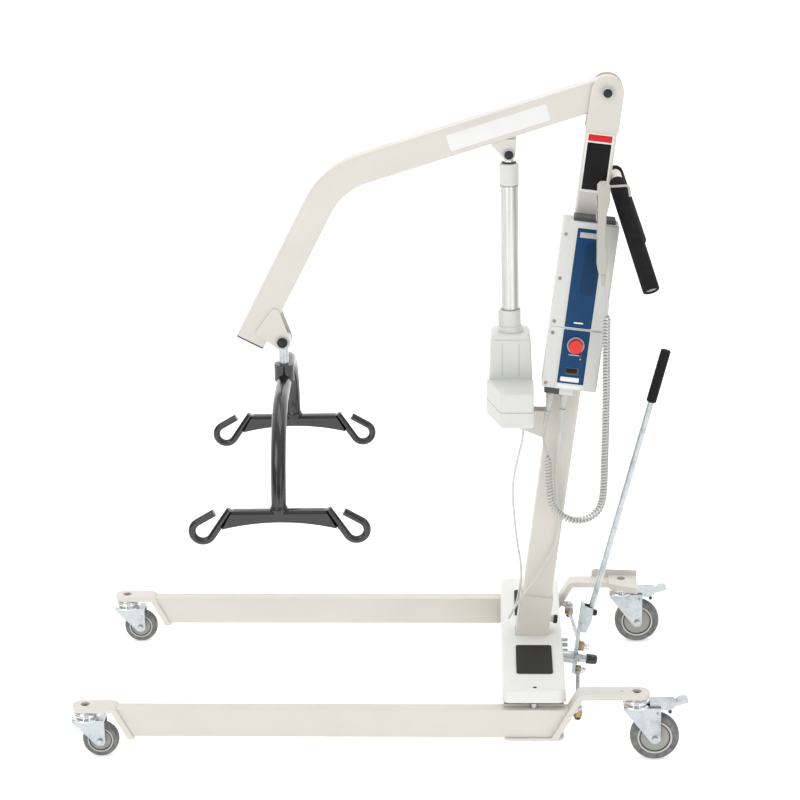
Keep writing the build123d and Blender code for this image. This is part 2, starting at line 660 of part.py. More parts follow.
with BuildPart() as actuator_collar:
    with BuildSketch(actuator_plane(COLLAR_TOP)):
        Circle(TUBE_R + 3.2)
    extrude(amount=COLLAR_BOTTOM - COLLAR_TOP)
    with BuildSketch(actuator_plane(COLLAR_BOTTOM)):
        Circle(24)
    extrude(amount=BODY_TOP - COLLAR_BOTTOM, taper=-14)
    with BuildSketch(actuator_plane(COLLAR_TOP + 2)):
        with Locations((0, -(TUBE_R + 3))):
            Rectangle(14, 8)
    extrude(amount=28)
write_group([actuator_end_cap, actuator_collar], "actuator_tube_fittings")

HOUSING_Y = (-38.0, 40.0)
with BuildPart() as actuator_housing:
    with BuildSketch(side(0)):
        with BuildLine():
            Polyline((234, 821), (304, 821), (310, 812), (316, 668), (303, 655), (232, 655), (222, 668),
                     (228, 812), close=True)
        make_face()
    extrude(amount=-HOUSING_Y[0] - 0.02)
    extrude(actuator_housing.faces().sort_by(Axis.Y)[-1], amount=HOUSING_Y[1])
    fillet(actuator_housing.edges().filter_by(Axis.Y), 3)
    fillet(actuator_housing.faces().sort_by(Axis.Y)[0].edges(), 4)
    fillet(actuator_housing.faces().sort_by(Axis.Y)[-1].edges(), 4)
    with BuildSketch(side(0)):
        with Locations((LOWER_PIN[0], LOWER_PIN[1])):
            Circle(14)
        with Locations((LOWER_PIN[0], 660)):
            Rectangle(40, 12)
        make_hull()
    extrude(amount=11, both=True)
    with BuildSketch(side(0)):
        with Locations((LOWER_PIN[0], LOWER_PIN[1])):
            Circle(ACTUATOR_PIN_R)
    extrude(amount=12.4, both=True)
write(actuator_housing, "actuator_housing")

POD_Z = (653.0, 727.0)
with BuildPart() as actuator_motor_pod:
    with BuildSketch(Plane.XY.offset(POD_Z[0])):
        Polygon((219, HOUSING_Y[0] - 0.04), (316, HOUSING_Y[0] - 0.04), (315, -140), (248, -140), align=None)
    extrude(amount=POD_Z[1] - POD_Z[0])
    fillet(actuator_motor_pod.edges().filter_by(Axis.Z).sort_by(Axis.Y)[0:2], 8)
    fillet(actuator_motor_pod.faces().sort_by(Axis.Z)[-1].edges().sort_by(Axis.Y)[0:-1], 4)
    fillet(actuator_motor_pod.faces().sort_by(Axis.Z)[0].edges().sort_by(Axis.Y)[0:-1], 4)
write(actuator_motor_pod, "actuator_motor_pod")

# lower mount: two plates on the mast's front face, with the bolt heads that face the eye
MOUNT_Y = 15.5
with BuildPart() as actuator_mount:
    for _, hand in SIDES:
        with BuildSketch(side(hand * MOUNT_Y)):
            with Locations((LOWER_PIN[0], LOWER_PIN[1])):
                Circle(15)
            with Locations((350, 620)):
                Rectangle(14, 60)
            make_hull()
        extrude(amount=2, both=True)
    with BuildSketch(mast_side(0)):
        with Locations((0, -700)):
            Rectangle(MAST_X + 0.04, 400)
    extrude(amount=30, both=True, mode=Mode.SUBTRACT)

with BuildPart() as actuator_mount_bolts:
    for _, hand in SIDES:
        with BuildSketch(side(hand * (MOUNT_Y + 4.55))):
            with Locations((LOWER_PIN[0], LOWER_PIN[1])):
                RegularPolygon(9, 6)
        extrude(amount=2.5, both=True)
write_group([leg_hinge_pins, boom_pivot_bolt, actuator_mount_bolts], "base_bolts")

# ---------------------------------------------------------------- control box and battery
box_mid, box_width = span(*BOX_ACROSS)
panel_mid, panel_width = span(*PANEL_ACROSS)
FLANGE_DROP = 2.5


def box_case(along, corner):
    """White case: full depth, its middle strip standing proud of the screw flanges."""
    middle, length = span(*along)
    with BuildPart() as case:
        with BuildSketch(mast_side(BOX_BACK_Y)):
            with Locations((box_mid, middle)):
                RectangleRounded(box_width, length, corner)
        extrude(amount=BOX_BACK_Y - BOX_FACE_Y)
        with BuildSketch(mast_side(BOX_FACE_Y)):
            with Locations((panel_mid, middle)):
                Rectangle(panel_width + 4, length - 1)
        extrude(amount=FLANGE_DROP)
    return case


STOP_ALONG = -511.0
battery = box_case(BATTERY_ALONG, 4)
write(battery, "battery")
with BuildPart() as controller:
    add(box_case(CONTROLLER_ALONG, 4).part)
    with BuildSketch(mast_side(BOX_FACE_Y - FLANGE_DROP)):
        with Locations((panel_mid + 1, STOP_ALONG)):
            Circle(15.2)
    extrude(amount=-5, mode=Mode.SUBTRACT)
write(controller, "controller")

with BuildPart() as battery_handle:
    with BuildSketch(mast_side((BOX_BACK_Y + BOX_FACE_Y) / 2)):
        with Locations((box_mid + 6, BATTERY_ALONG[1] + 4.02)):
            Rectangle(84, 8)
    extrude(amount=19, both=True)
    fillet(battery_handle.edges().filter_by(Axis.Y), 2)
write(battery_handle, "battery_handle")

with BuildPart() as box_backplate:
    with BuildSketch(mast_side(-24.3)):
        with Locations((box_mid, -432)):
            Rectangle(80, 330)
    extrude(amount=2.28, both=True)
write_group([actuator_mount, box_backplate], "mast_brackets")


with BuildPart() as stop_button:
    with BuildSketch(mast_side(BOX_FACE_Y - FLANGE_DROP - 6)):
        with Locations((panel_mid + 1, STOP_ALONG)):
            Circle(14.7)
    extrude(amount=9, taper=6)
    with BuildSketch(mast_side(BOX_FACE_Y - FLANGE_DROP - 0.5)):
        with Locations((panel_mid + 1, STOP_ALONG)):
            Circle(10)
    extrude(amount=6)
write(stop_button, "stop_button")

SOCKET_ACROSS, SOCKET_Y = -33.0, -50.0
with BuildPart() as socket_block:
    with BuildSketch(mast_side(SOCKET_Y)):
        with Locations((-18, CONTROLLER_ALONG[0] - 8.02)):
            Rectangle(58, 16)
    extrude(amount=14, both=True)
    fillet(socket_block.edges().filter_by(Axis.Y), 2)
write(socket_block, "socket_block")


def plug(name, across, length, top_r, end_r):
    """Round plug body that tapers into its strain relief, hanging below the sockets."""
    start = CONTROLLER_ALONG[0] - 16.06
    with BuildPart() as body:
        with BuildSketch(mast_section(start)):
            with Locations((across, SOCKET_Y)):
                Circle(top_r)
        extrude(amount=-12)
        with BuildSketch(mast_section(start - 12)):
            with Locations((across, SOCKET_Y)):
                Circle(top_r - 1)
        with BuildSketch(mast_section(start - length)):
            with Locations((across, SOCKET_Y)):
                Circle(end_r)
        loft()
    write(body, name)


HANDSET_PLUG_LENGTH, ACTUATOR_PLUG_LENGTH = 46.0, 30.0
plug("handset_plug", SOCKET_ACROSS, HANDSET_PLUG_LENGTH, 8.5, 4)
plug("actuator_plug", -4.0, ACTUATOR_PLUG_LENGTH, 7.5, 4)

# ---------------------------------------------------------------- handset
HANDSET_X = (438.5, 462.5)
HANDSET_Y = (-154.0, -106.0)
HANDSET_Z = (979.0, 1157.0)
handset_mid_y, handset_width = span(*HANDSET_Y)
HOOK_Y = -120.0
hook_bar = swept_tube([(HANDSET_X[1] - 1, HOOK_Y, 1147.9), (500, HOOK_Y, 1150), (503, HOOK_Y, 1128)], 2.4, 7)
with BuildPart() as handset:
    with BuildSketch(side(handset_mid_y)):
        with BuildLine():
            Polyline((HANDSET_X[0] + 3, HANDSET_Z[0]), (HANDSET_X[0], HANDSET_Z[0] + 12),
                     (HANDSET_X[0], HANDSET_Z[1] - 6), (HANDSET_X[0] + 6, HANDSET_Z[1]),
                     (HANDSET_X[1] - 6, HANDSET_Z[1]), (HANDSET_X[1], HANDSET_Z[1] - 6),
                     (HANDSET_X[1], HANDSET_Z[1] - 34), (HANDSET_X[1] - 7, HANDSET_Z[1] - 62),
                     (HANDSET_X[1] - 7, HANDSET_Z[0] + 60), (HANDSET_X[1] - 2, HANDSET_Z[0] + 34),
                     (HANDSET_X[1] - 5, HANDSET_Z[0]), close=True)
        make_face()
    extrude(amount=handset_width / 2, both=True)
    fillet(handset.faces().sort_by(Axis.Y)[0].edges() + handset.faces().sort_by(Axis.Y)[-1].edges(), 4)
    for height in (1090.0, 1120.0):
        with BuildSketch(Plane.YZ.offset(HANDSET_X[0] - 1)):
            with Locations((handset_mid_y, height)):
                RectangleRounded(22.6, 16.6, 4.3)
        extrude(amount=5, mode=Mode.SUBTRACT)
    with BuildSketch(Plane.XY.offset(HANDSET_Z[0])):
        with Locations((452, handset_mid_y)):
            Circle(5)
    extrude(amount=-30, taper=2)
    add(hook_bar.part)
write(handset, "handset")

for height, word in ((1090.0, "down"), (1120.0, "up")):
    with BuildPart() as key:
        with BuildSketch(Plane.YZ.offset(HANDSET_X[0] - 2)):
            with Locations((handset_mid_y, height)):
                RectangleRounded(22, 16, 4)
        extrude(amount=4)
    write(key, f"handset_button_{word}")

# ---------------------------------------------------------------- cords
plug_exit = mast_point(SOCKET_ACROSS, CONTROLLER_ALONG[0] - 16.06 - HANDSET_PLUG_LENGTH, SOCKET_Y)
CABLE_R, COIL_R = 2.5, 8.5
PLUG_LEAD = [(345.2, -50, 658.5), (339.0, -50, 632.0), (335.5, -51, 606.0), (339.0, -55, 586.0),
             (345.5, -60, 574.0)]
COIL = [(345.5, -60, 574.0), (349.5, -60, 466.0), (371.0, -61, 436.0), (406.0, -63, 423.0),
        (440.0, -66, 435.0), (460.5, -70, 466.0), (461.5, -84, 560.0), (462.5, -104, 700.0),
        (459.0, -130, 893.0)]
HANDSET_LEAD = [(459.0, -130, 893.0), (463.0, -130, 905.0), (459.5, -130, 925.0), (452.0, -130, 949.0)]
ACTUATOR_CABLE = [(295.5, -75, 650.2), (295.0, -75, 626.0), (291.0, -72, 596.0), (281.7, -66, 557.8),
                  (274.3, -58, 514.0), (273.0, -50, 473.5), (275.6, -43, 439.8), (279.1, -35, 401.0),
                  (282.8, -28, 365.7), (287.4, -22, 337.4), (291.0, -15, 308.5), (292.4, -9, 280.5),
                  (289.8, -4, 255.0), (286.0, 0, 232.0), (281.5, 0.5, 211.0), (273.5, -3.5, 195.0),
                  (266.5, -13.5, 187.0), (264.5, -29, 190.0), (268.5, -39, 203.0), (278.5, -44, 223.5),
                  (291.0, -45, 244.0), (309.0, -43, 268.0), (330.2, -39, 298.3), (350.6, -34, 336.2),
                  (366.0, -30.5, 369.0), (371.5, -29, 405.0), (369.4, -28.5, 441.0), (364.8, -28.5, 481.1),
                  (363.8, -29, 525.7), (366.5, -35, 567.4), (371.2, -44, 609.8), (376.0, -50, 670.8)]

print("handset plug exit", [round(v, 1) for v in plug_exit])
print("actuator plug exit",
      [round(v, 1) for v in mast_point(-4, CONTROLLER_ALONG[0] - 16.06 - ACTUATOR_PLUG_LENGTH, SOCKET_Y)])
write_group([cord("handset plug lead", PLUG_LEAD, CABLE_R), cord("handset lead", HANDSET_LEAD, CABLE_R)],
            "handset_cord_ends")
write(cord("handset coil", COIL, COIL_R), "handset_coil")
write(cord("actuator cable", ACTUATOR_CABLE, CABLE_R), "actuator_cable")

# ---------------------------------------------------------------- hanger and spreader
with BuildPart() as hanger:
    with BuildSketch(side(0)):
        with Locations((HANGER_X, HANGER_Z)):
            Circle(16)
    extrude(amount=15, both=True)
    with BuildSketch(Plane((HANGER_X, 0, 732))):
        Circle(14)
    extrude(amount=7.7)
    with BuildSketch(Plane((HANGER_X, 0, 732))):
        Circle(10)
    extrude(amount=HANGER_Z - 732 - 8)
    with BuildSketch(side(0)):
        with Locations((HANGER_X, HANGER_Z)):
            Circle(6 + FIT)
    extrude(amount=30, both=True, mode=Mode.SUBTRACT)
write(hanger, "hanger")

spreader_axes = Plane((HANGER_X, 0, 0)).rotated((0, 0, SPREADER_TURN))


def spreader_point(x, y, z):
    """World point of a place given in the spreader's own turned frame."""
    return spreader_axes.from_local_coords(Vector(x, y, z))


def spreader_side(y):
    """Upright plane of the spreader at this y of its own: local x along its crossbars."""
    return Plane(spreader_point(0, y, 0), x_dir=spreader_axes.x_dir, z_dir=-spreader_axes.y_dir)


arch_points = [spreader_point(0, -ARCH_HALF, CROSSBAR_Z + 16), spreader_point(0, -ARCH_HALF, ARCH_Z),
               spreader_point(0, ARCH_HALF, ARCH_Z), spreader_point(0, ARCH_HALF, CROSSBAR_Z + 16)]
arch_tube = swept_tube(arch_points, ARCH_R, ARCH_Z - CROSSBAR_Z - 17, ARCH_R - 2.5)
with BuildPart() as spreader_arch:
    add(arch_tube.part)
    with BuildSketch(Plane((HANGER_X, 0, 715))):
        Circle(20.5)
    extrude(amount=36)
    with BuildSketch(Plane((HANGER_X, 0, 731.5))):
        Circle(14.3)
    extrude(amount=8.5, mode=Mode.SUBTRACT)
    with BuildSketch(Plane((HANGER_X, 0, 735))):
        Circle(10 + FIT)
    extrude(amount=30, mode=Mode.SUBTRACT)
write(spreader_arch, "spreader_arch")

HOOK_START = (97.0, 541.0)
HOOK_SLANT = 236.0
HOOK_RUN = 68.0
HOOK_BEND = 21.3
HOOK_TURN = 206.0
HOOK_TIP = 40.0


def hook_route(plane, hand):
    """Path of one hook: down off the crossbar's end, round, and up to its tip."""
    slant = radians(HOOK_SLANT)
    start = (hand * HOOK_START[0], HOOK_START[1])
    low = (start[0] - hand * HOOK_RUN * cos(slant), start[1] + HOOK_RUN * sin(slant))
    with BuildLine(plane) as route:
        Line(start, low)
        turn = JernArc(low, (-hand * cos(slant), sin(slant)), HOOK_BEND, hand * HOOK_TURN)
        end = turn @ 1
        Line(end, end + (turn % 1) * HOOK_TIP)
    return route


def make_crossbar(name, hand):
    """Crossbar with an arched lower edge and a round-bar hook at each end."""
    plane = spreader_side(hand * ARCH_HALF)
    routes = [hook_route(plane, end) for end in (-1, 1)]
    with BuildPart() as crossbar:
        with BuildSketch(plane):
            with BuildLine():
                Polyline((-114, 503), (-92, 541), (92, 541), (114, 503))
                ThreePointArc((114, 503), (0, 517), (-114, 503))
            make_face()
        extrude(amount=12, both=True)
        fillet(crossbar.edges().filter_by(GeomType.LINE).group_by(Axis.Z)[-1], 8)
        for route in routes:
            with BuildSketch(Plane(route.line @ 0, z_dir=route.line % 0)):
                Circle(HOOK_BAR_R)
            sweep(path=route.line)
        with BuildSketch(Plane(spreader_point(0, hand * ARCH_HALF, 520))):
            Circle(ARCH_R + 0.02)
        extrude(amount=60, mode=Mode.SUBTRACT)
    write(crossbar, name)


for word, hand in SIDES:
    make_crossbar(f"spreader_crossbar_{word}", hand)

# ---------------------------------------------------------------- leg-spreading lever
SHAFT_R = 8.0
with BuildPart() as lever_shaft:
    with BuildSketch(lever_plane(-3.3)):
        Circle(13)
    extrude(amount=-36)
    with BuildSketch(lever_plane(-20)):
        Circle(SHAFT_R)
    extrude(amount=64)
    split(bisect_by=Plane.YZ.offset(HINGE_X + BEAM_HALF_X + 0.02), keep=Keep.TOP)

with BuildPart() as shaft_cap:
    with BuildSketch(lever_plane(24)):
        Circle(10)
    extrude(amount=23)
    fillet(shaft_cap.edges().sort_by(Axis.X)[-1], 5)
    with BuildSketch(lever_plane(0)):
        Circle(SHAFT_R + 0.02)
    extrude(amount=44.02, mode=Mode.SUBTRACT)
write_group([lever_shaft, shaft_cap], "lever_shaft")

PLATE_HALF = 3.0
with BuildPart() as lever_plate:
    with BuildSketch(lever_plane(0)):
        for height, radius in ((-LINK_ARM, 9), (0, 15), (LINK_ARM, 9)):
            with Locations((0, height)):
                Circle(radius)
        make_hull()
        with Locations((0, 72)):
            Rectangle(26, 110)
        Circle(SHAFT_R + FIT, mode=Mode.SUBTRACT)
    extrude(amount=PLATE_HALF, both=True)
    for height in (-LINK_ARM, LINK_ARM):
        with BuildSketch(lever_plane(0)):
            with Locations((0, height)):
                Circle(5)
        extrude(amount=20)
        with BuildSketch(lever_plane(17)):
            with Locations((0, height)):
                Circle(7)
        extrude(amount=6, taper=25)

# the lever rod leans further back than its plate; it stands in a folded bracket
ROD_FOOT = Vector(432.0, 0, 166.0)
ROD_TOP = Vector(589.4, 0, 777.3)
rod_dir = (ROD_TOP - ROD_FOOT).normalized()
LEVER_ROD_R, LEVER_GRIP_R, LEVER_GRIP_LENGTH = 6.5, 10.5, 116.0


def rod_plane(up):
    """Plane square to the lever rod, this far above its foot; local x is +Y."""
    return Plane((ROD_FOOT + rod_dir * up), x_dir=(0, 1, 0), z_dir=rod_dir)


ROD_LENGTH = (ROD_TOP - ROD_FOOT).length
with BuildPart() as lever_bracket:
    with BuildSketch(side(0)):
        Polygon((423.2, 212), (446, 205), (443, 178), (431, 150), (422, 150), (415.9, 156),
                align=None)
    extrude(amount=11, both=True)
    with BuildSketch(rod_plane(-30)):
        Rectangle(17, 30)
    extrude(amount=120, mode=Mode.SUBTRACT)
    with BuildSketch(lever_plane(PLATE_HALF + 0.02)):
        Rectangle(200, 600)
    extrude(amount=-40, mode=Mode.SUBTRACT)
with BuildPart() as bracket_web:
    with BuildSketch(lever_plane(PLATE_HALF + 0.02)):
        with Locations((0, 94)):
            Rectangle(22, 56)
    extrude(amount=2.5)
    add(lever_bracket.part)
write_group([lever_plate, bracket_web], "lever_plate")

with BuildPart() as lever_rod:
    with BuildSketch(rod_plane(0)):
        Circle(LEVER_ROD_R)
    extrude(amount=ROD_LENGTH - 4)
write(lever_rod, "lever_rod")

with BuildPart() as lever_grip:
    with BuildSketch(rod_plane(ROD_LENGTH - LEVER_GRIP_LENGTH)):
        Circle(LEVER_GRIP_R)
    extrude(amount=LEVER_GRIP_LENGTH)
    fillet(lever_grip.edges().filter_by(GeomType.CIRCLE), 3.5)
    with BuildSketch(rod_plane(0)):
        Circle(LEVER_ROD_R + 0.02)
    extrude(amount=ROD_LENGTH - 3.98, mode=Mode.SUBTRACT)
write(lever_grip, "lever_grip")


BALL_HEIGHT, BALL_RISE = 16.5, 2.7


def make_tie_rod(name, hand, height, flat):
    """Tie rod from the lever plate's bolt out to the ball housing under the leg's lug.

    The right rod is a flat bar whose ball rises 2 mm in mid travel, so it hangs lower.
    """
    lean = radians(LEVER_LEAN)
    forward = PLATE_HALF + 6.5
    pin = Vector(LEVER_X + forward * cos(lean) + height * sin(lean), 0,
                 LEVER_Z - forward * sin(lean) + height * cos(lean))
    ball = Vector(STUD_X, hand * STUD_Y, STUD_Z)
    run = (ball - pin).normalized()
    with BuildPart() as tie:
        with BuildSketch(lever_plane(PLATE_HALF + 0.5)):
            with Locations((0, height)):
                Circle(9.5)
        extrude(amount=12)
        with BuildSketch(Plane((ball - Vector(0, 0, 9)))):
            Circle(9)
        extrude(amount=BALL_HEIGHT - (BALL_RISE if flat else 0))
        with BuildSketch(Plane((pin + run * 4), x_dir=(0, 0, 1), z_dir=run)):
            if flat:
                with Locations((-3, 0)):
                    Rectangle(12, 5)
            else:
                Circle(4.3)
        extrude(amount=(ball - pin).length - 8)
        with BuildSketch(lever_plane(-10)):
            with Locations((0, height)):
                Circle(5 + FIT)
        extrude(amount=60, mode=Mode.SUBTRACT)
    write(tie, name)


make_tie_rod("tie_rod_left", -1, -LINK_ARM, False)
make_tie_rod("tie_rod_right", 1, LINK_ARM, True)
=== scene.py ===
"""Looks of the patient lift hoist: materials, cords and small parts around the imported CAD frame."""
from math import atan2, cos, hypot, pi, radians, sin

import bmesh
import bpy
from mathutils import Matrix, Vector


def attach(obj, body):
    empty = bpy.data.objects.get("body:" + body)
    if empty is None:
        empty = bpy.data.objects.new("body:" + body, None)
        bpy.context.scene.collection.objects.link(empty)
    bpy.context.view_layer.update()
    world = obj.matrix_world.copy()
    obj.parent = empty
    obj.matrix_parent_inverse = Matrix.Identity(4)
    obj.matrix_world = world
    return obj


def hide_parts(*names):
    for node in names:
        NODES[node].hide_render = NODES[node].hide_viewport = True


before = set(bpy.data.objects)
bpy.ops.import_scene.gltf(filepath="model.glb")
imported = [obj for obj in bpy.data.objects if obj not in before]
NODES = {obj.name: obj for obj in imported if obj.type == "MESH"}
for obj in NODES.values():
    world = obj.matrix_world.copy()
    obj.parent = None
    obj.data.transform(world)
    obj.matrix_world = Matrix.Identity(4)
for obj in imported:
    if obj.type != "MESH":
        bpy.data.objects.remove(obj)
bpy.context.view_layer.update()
SCENE = bpy.context.scene
MM = 0.001


# ---------------------------------------------------------------- camera, light, floor
def place_camera():
    """The photograph's viewpoint: from the lift's left side, looking down, with a long lens."""
    turn, pitch, roll = radians(2.28), radians(17.62), radians(-0.83)
    ahead = Vector((-sin(turn) * cos(pitch), cos(turn) * cos(pitch), -sin(pitch)))
    right = Vector((cos(turn), sin(turn), 0))
    up = right.cross(ahead)
    right, up = right * cos(roll) + up * sin(roll), up * cos(roll) - right * sin(roll)
    data = bpy.data.cameras.new("camera")
    data.sensor_width = 36
    data.lens = 105.3
    data.clip_end = 60
    camera = bpy.data.objects.new("camera", data)
    SCENE.collection.objects.link(camera)
    place = Matrix((right, up, -ahead)).transposed().to_4x4()
    place.translation = (0.2239, -4.6450, 2.1468)
    camera.matrix_world = place
    SCENE.camera = camera


def area_light(name, place, target, size, power, colour=(1, 1, 1)):
    """Soft box at place, facing target."""
    data = bpy.data.lights.new(name, "AREA")
    data.shape = "RECTANGLE"
    data.size, data.size_y = size
    data.energy = power
    data.color = colour
    lamp = bpy.data.objects.new(name, data)
    SCENE.collection.objects.link(lamp)
    lamp.location = place
    lamp.rotation_euler = (Vector(target) - Vector(place)).to_track_quat("-Z", "Y").to_euler()


def place_stage():
    """White floor and backdrop, a world that is brighter overhead, soft boxes and two strip lights."""
    verts, faces = [], []
    profile = [(-30, 0), (2.6, 0), (3.6, 0.14), (4.3, 0.55), (4.7, 1.3), (4.9, 2.6), (5.0, 14)]
    for x in (-30, 30):
        verts += [(x, y, z) for y, z in profile]
    for i in range(len(profile) - 1):
        faces.append((i, i + 1, len(profile) + i + 1, len(profile) + i))
    mesh = bpy.data.meshes.new("floor")
    mesh.from_pydata(verts, [], faces)
    floor = bpy.data.objects.new("floor", mesh)
    SCENE.collection.objects.link(floor)
    for face in mesh.polygons:
        face.use_smooth = True
    white = simple_material("floor_white", (0.92, 0.92, 0.92), 0.6)
    white.node_tree.nodes["Principled BSDF"].inputs["Emission Color"].default_value = (1, 1, 1, 1)
    white.node_tree.nodes["Principled BSDF"].inputs["Emission Strength"].default_value = 0.42
    floor.data.materials.append(white)
    world = bpy.data.worlds.new("world")
    SCENE.world = world
    world.use_nodes = True
    tree = world.node_tree
    coords = tree.nodes.new("ShaderNodeTexCoord")
    split = tree.nodes.new("ShaderNodeSeparateXYZ")
    ramp = tree.nodes.new("ShaderNodeValToRGB")
    ramp.color_ramp.elements[0].position, ramp.color_ramp.elements[0].color = 0.02, (0.30, 0.31, 0.32, 1)
    ramp.color_ramp.elements[1].position, ramp.color_ramp.elements[1].color = 0.62, (1, 1, 1, 1)
    tree.links.new(coords.outputs["Generated"], split.inputs[0])
    tree.links.new(split.outputs["Z"], ramp.inputs["Fac"])
    tree.links.new(ramp.outputs["Color"], tree.nodes["Background"].inputs[0])
    tree.nodes["Background"].inputs[1].default_value = 0.82
    area_light("key", (-2.2, -2.6, 3.4), (0, 0, 0.6), (2.4, 2.0), 34)
    area_light("fill", (3.4, -2.8, 1.8), (0, 0, 0.6), (2.0, 2.0), 9)
    area_light("top", (0.3, 0.6, 3.6), (0, 0, 0.4), (3.0, 2.0), 26)
    area_light("strip_left", (-1.35, -3.2, 0.75), (-0.1, 0, 0.5), (0.22, 2.3), 8)
    area_light("strip_right", (1.75, -3.1, 0.75), (-0.1, 0, 0.5), (0.22, 2.3), 7)
    SCENE.view_settings.view_transform = "Standard"


def simple_material(name, colour, rough):
    """Principled material with one colour."""
    material = bpy.data.materials.new(name)
    material.use_nodes = True
    shader = material.node_tree.nodes["Principled BSDF"]
    shader.inputs["Base Color"].default_value = (*colour, 1)
    shader.inputs["Roughness"].default_value = rough
    return material


# ---------------------------------------------------------------- materials
class Shade:
    """Small builder for a procedural Principled material in object coordinates, in metres."""

    def __init__(self, name):
        self.material = bpy.data.materials.new(name)
        self.material.use_nodes = True
        self.tree = self.material.node_tree
        self.shader = self.tree.nodes["Principled BSDF"]
        self.coords = self.tree.nodes.new("ShaderNodeTexCoord").outputs["Object"]

    def put(self, **values):
        """Set constant sockets of the shader, named with underscores for spaces."""
        for name, value in values.items():
            self.shader.inputs[name.replace("_", " ")].default_value = value
        return self

    def stretched(self, scale):
        """Object coordinates stretched by a scale per axis."""
        node = self.tree.nodes.new("ShaderNodeMapping")
        node.inputs["Scale"].default_value = scale
        self.tree.links.new(self.coords, node.inputs["Vector"])
        return node.outputs["Vector"]

    def noise(self, scale, detail=2.0, vector=None, rough=0.5):
        """Noise value from 0 to 1 at a scale per metre."""
        node = self.tree.nodes.new("ShaderNodeTexNoise")
        node.inputs["Scale"].default_value = scale
        node.inputs["Detail"].default_value = detail
        node.inputs["Roughness"].default_value = rough
        self.tree.links.new(vector or self.coords, node.inputs["Vector"])
        return node.outputs["Fac"]

    def ramp(self, value, *stops):
        """Colour ramp; each stop is a position and a colour or grey value."""
        node = self.tree.nodes.new("ShaderNodeValToRGB")
        points = node.color_ramp.elements
        while len(points) < len(stops):
            points.new(0.5)
        for point, (position, colour) in zip(points, stops):
            point.position = position
            point.color = (*colour, 1) if hasattr(colour, "__len__") else (colour, colour, colour, 1)
        self.tree.links.new(value, node.inputs["Fac"])
        return node.outputs["Color"]

    def bands(self, scale, direction="X"):
        """Wave bands from 0 to 1 across one object axis."""
        node = self.tree.nodes.new("ShaderNodeTexWave")
        node.bands_direction = direction
        node.inputs["Scale"].default_value = scale
        self.tree.links.new(self.coords, node.inputs["Vector"])
        return node.outputs["Fac"]

    def colour(self, value):
        self.tree.links.new(value, self.shader.inputs["Base Color"])
        return self

    def rough(self, value):
        self.tree.links.new(value, self.shader.inputs["Roughness"])
        return self

    def bump(self, value, height, strength=1.0):
        """Bump from a value; height in metres."""
        node = self.tree.nodes.new("ShaderNodeBump")
        node.inputs["Distance"].default_value = height
        node.inputs["Strength"].default_value = strength
        self.tree.links.new(value, node.inputs["Height"])
        self.tree.links.new(node.outputs["Normal"], self.shader.inputs["Normal"])
        return self


def shift(colour, factor):
    """The same hue, lighter or darker."""
    return tuple(min(1.0, c * factor) for c in colour)


def painted(name, colour, rough=0.38, shine=0.5):
    """Powder coat: faint orange peel, a little colour drift and uneven gloss."""
    s = Shade(name)
    s.colour(s.ramp(s.noise(7, 3), (0.3, shift(colour, 0.965)), (0.7, shift(colour, 1.02))))
    s.rough(s.ramp(s.noise(30, 2), (0.3, rough * 0.85), (0.7, rough * 1.2)))
    return s.bump(s.noise(420, 2), 0.00012, 0.35).put(Specular_IOR_Level=shine).material


def plastic(name, colour, rough=0.42, grain=900, height=0.00006, shine=0.4):
    """Moulded plastic with a fine spark-eroded grain."""
    s = Shade(name)
    s.colour(s.ramp(s.noise(9, 2), (0.3, shift(colour, 0.97)), (0.7, shift(colour, 1.02))))
    s.rough(s.ramp(s.noise(25, 2), (0.3, rough * 0.88), (0.7, rough * 1.12)))
    return s.bump(s.noise(grain, 1), height, 0.4).put(Specular_IOR_Level=shine).material


def zinc(name, colour=(0.50, 0.54, 0.565), rough=0.27):
    """Bright zinc plate: bluish metal with cloudy passivation."""
    s = Shade(name)
    warm = (colour[0] * 1.06, colour[1] * 1.02, colour[2] * 0.93)
    s.colour(s.ramp(s.noise(38, 4), (0.25, shift(colour, 0.66)), (0.5, colour), (0.75, warm)))
    s.rough(s.ramp(s.noise(60, 4), (0.3, rough * 0.7), (0.7, rough * 1.35)))
    return s.bump(s.noise(500, 2), 0.00008, 0.3).put(Metallic=1.0).material


def brushed(name, colour, rough, stretch):
    """Metal with drawing lines along the axis whose stretch is small."""
    s = Shade(name)
    lines = s.noise(1.0, 4, s.stretched(stretch), 0.6)
    s.colour(s.ramp(lines, (0.3, shift(colour, 0.8)), (0.7, shift(colour, 1.1))))
    s.rough(s.ramp(lines, (0.3, rough * 0.8), (0.7, rough * 1.25)))
    return s.bump(lines, 0.00005, 0.4).put(Metallic=1.0).material


def rubber(name, colour, rough=0.75, grain=600, height=0.0002):
    """Rubber or foam: matt, with a soft pebble."""
    s = Shade(name)
    s.colour(s.ramp(s.noise(grain / 3, 3), (0.3, shift(colour, 0.7)), (0.7, shift(colour, 1.3))))
    s.rough(s.ramp(s.noise(40, 2), (0.3, rough * 0.9), (0.7, min(1, rough * 1.15))))
    return s.bump(s.noise(grain, 3), height, 0.5).put(Specular_IOR_Level=0.2).material


def ribbed(name, colour, scale):
    """Rubber mat with narrow ribs across it, its colour painted darker in the rib troughs and lighter on the crests as
    painted shade and highlight.
    """
    s = Shade(name)
    ribs = s.bands(scale, "Y")
    # Colour follows the rib height: painted shade in the troughs, painted highlight on the crests.
    s.colour(s.ramp(ribs, (0.2, shift(colour, 0.55)), (0.8, shift(colour, 1.25))))
    return s.bump(ribs, 0.0006, 0.8).put(Roughness=0.62, Specular_IOR_Level=0.2).material
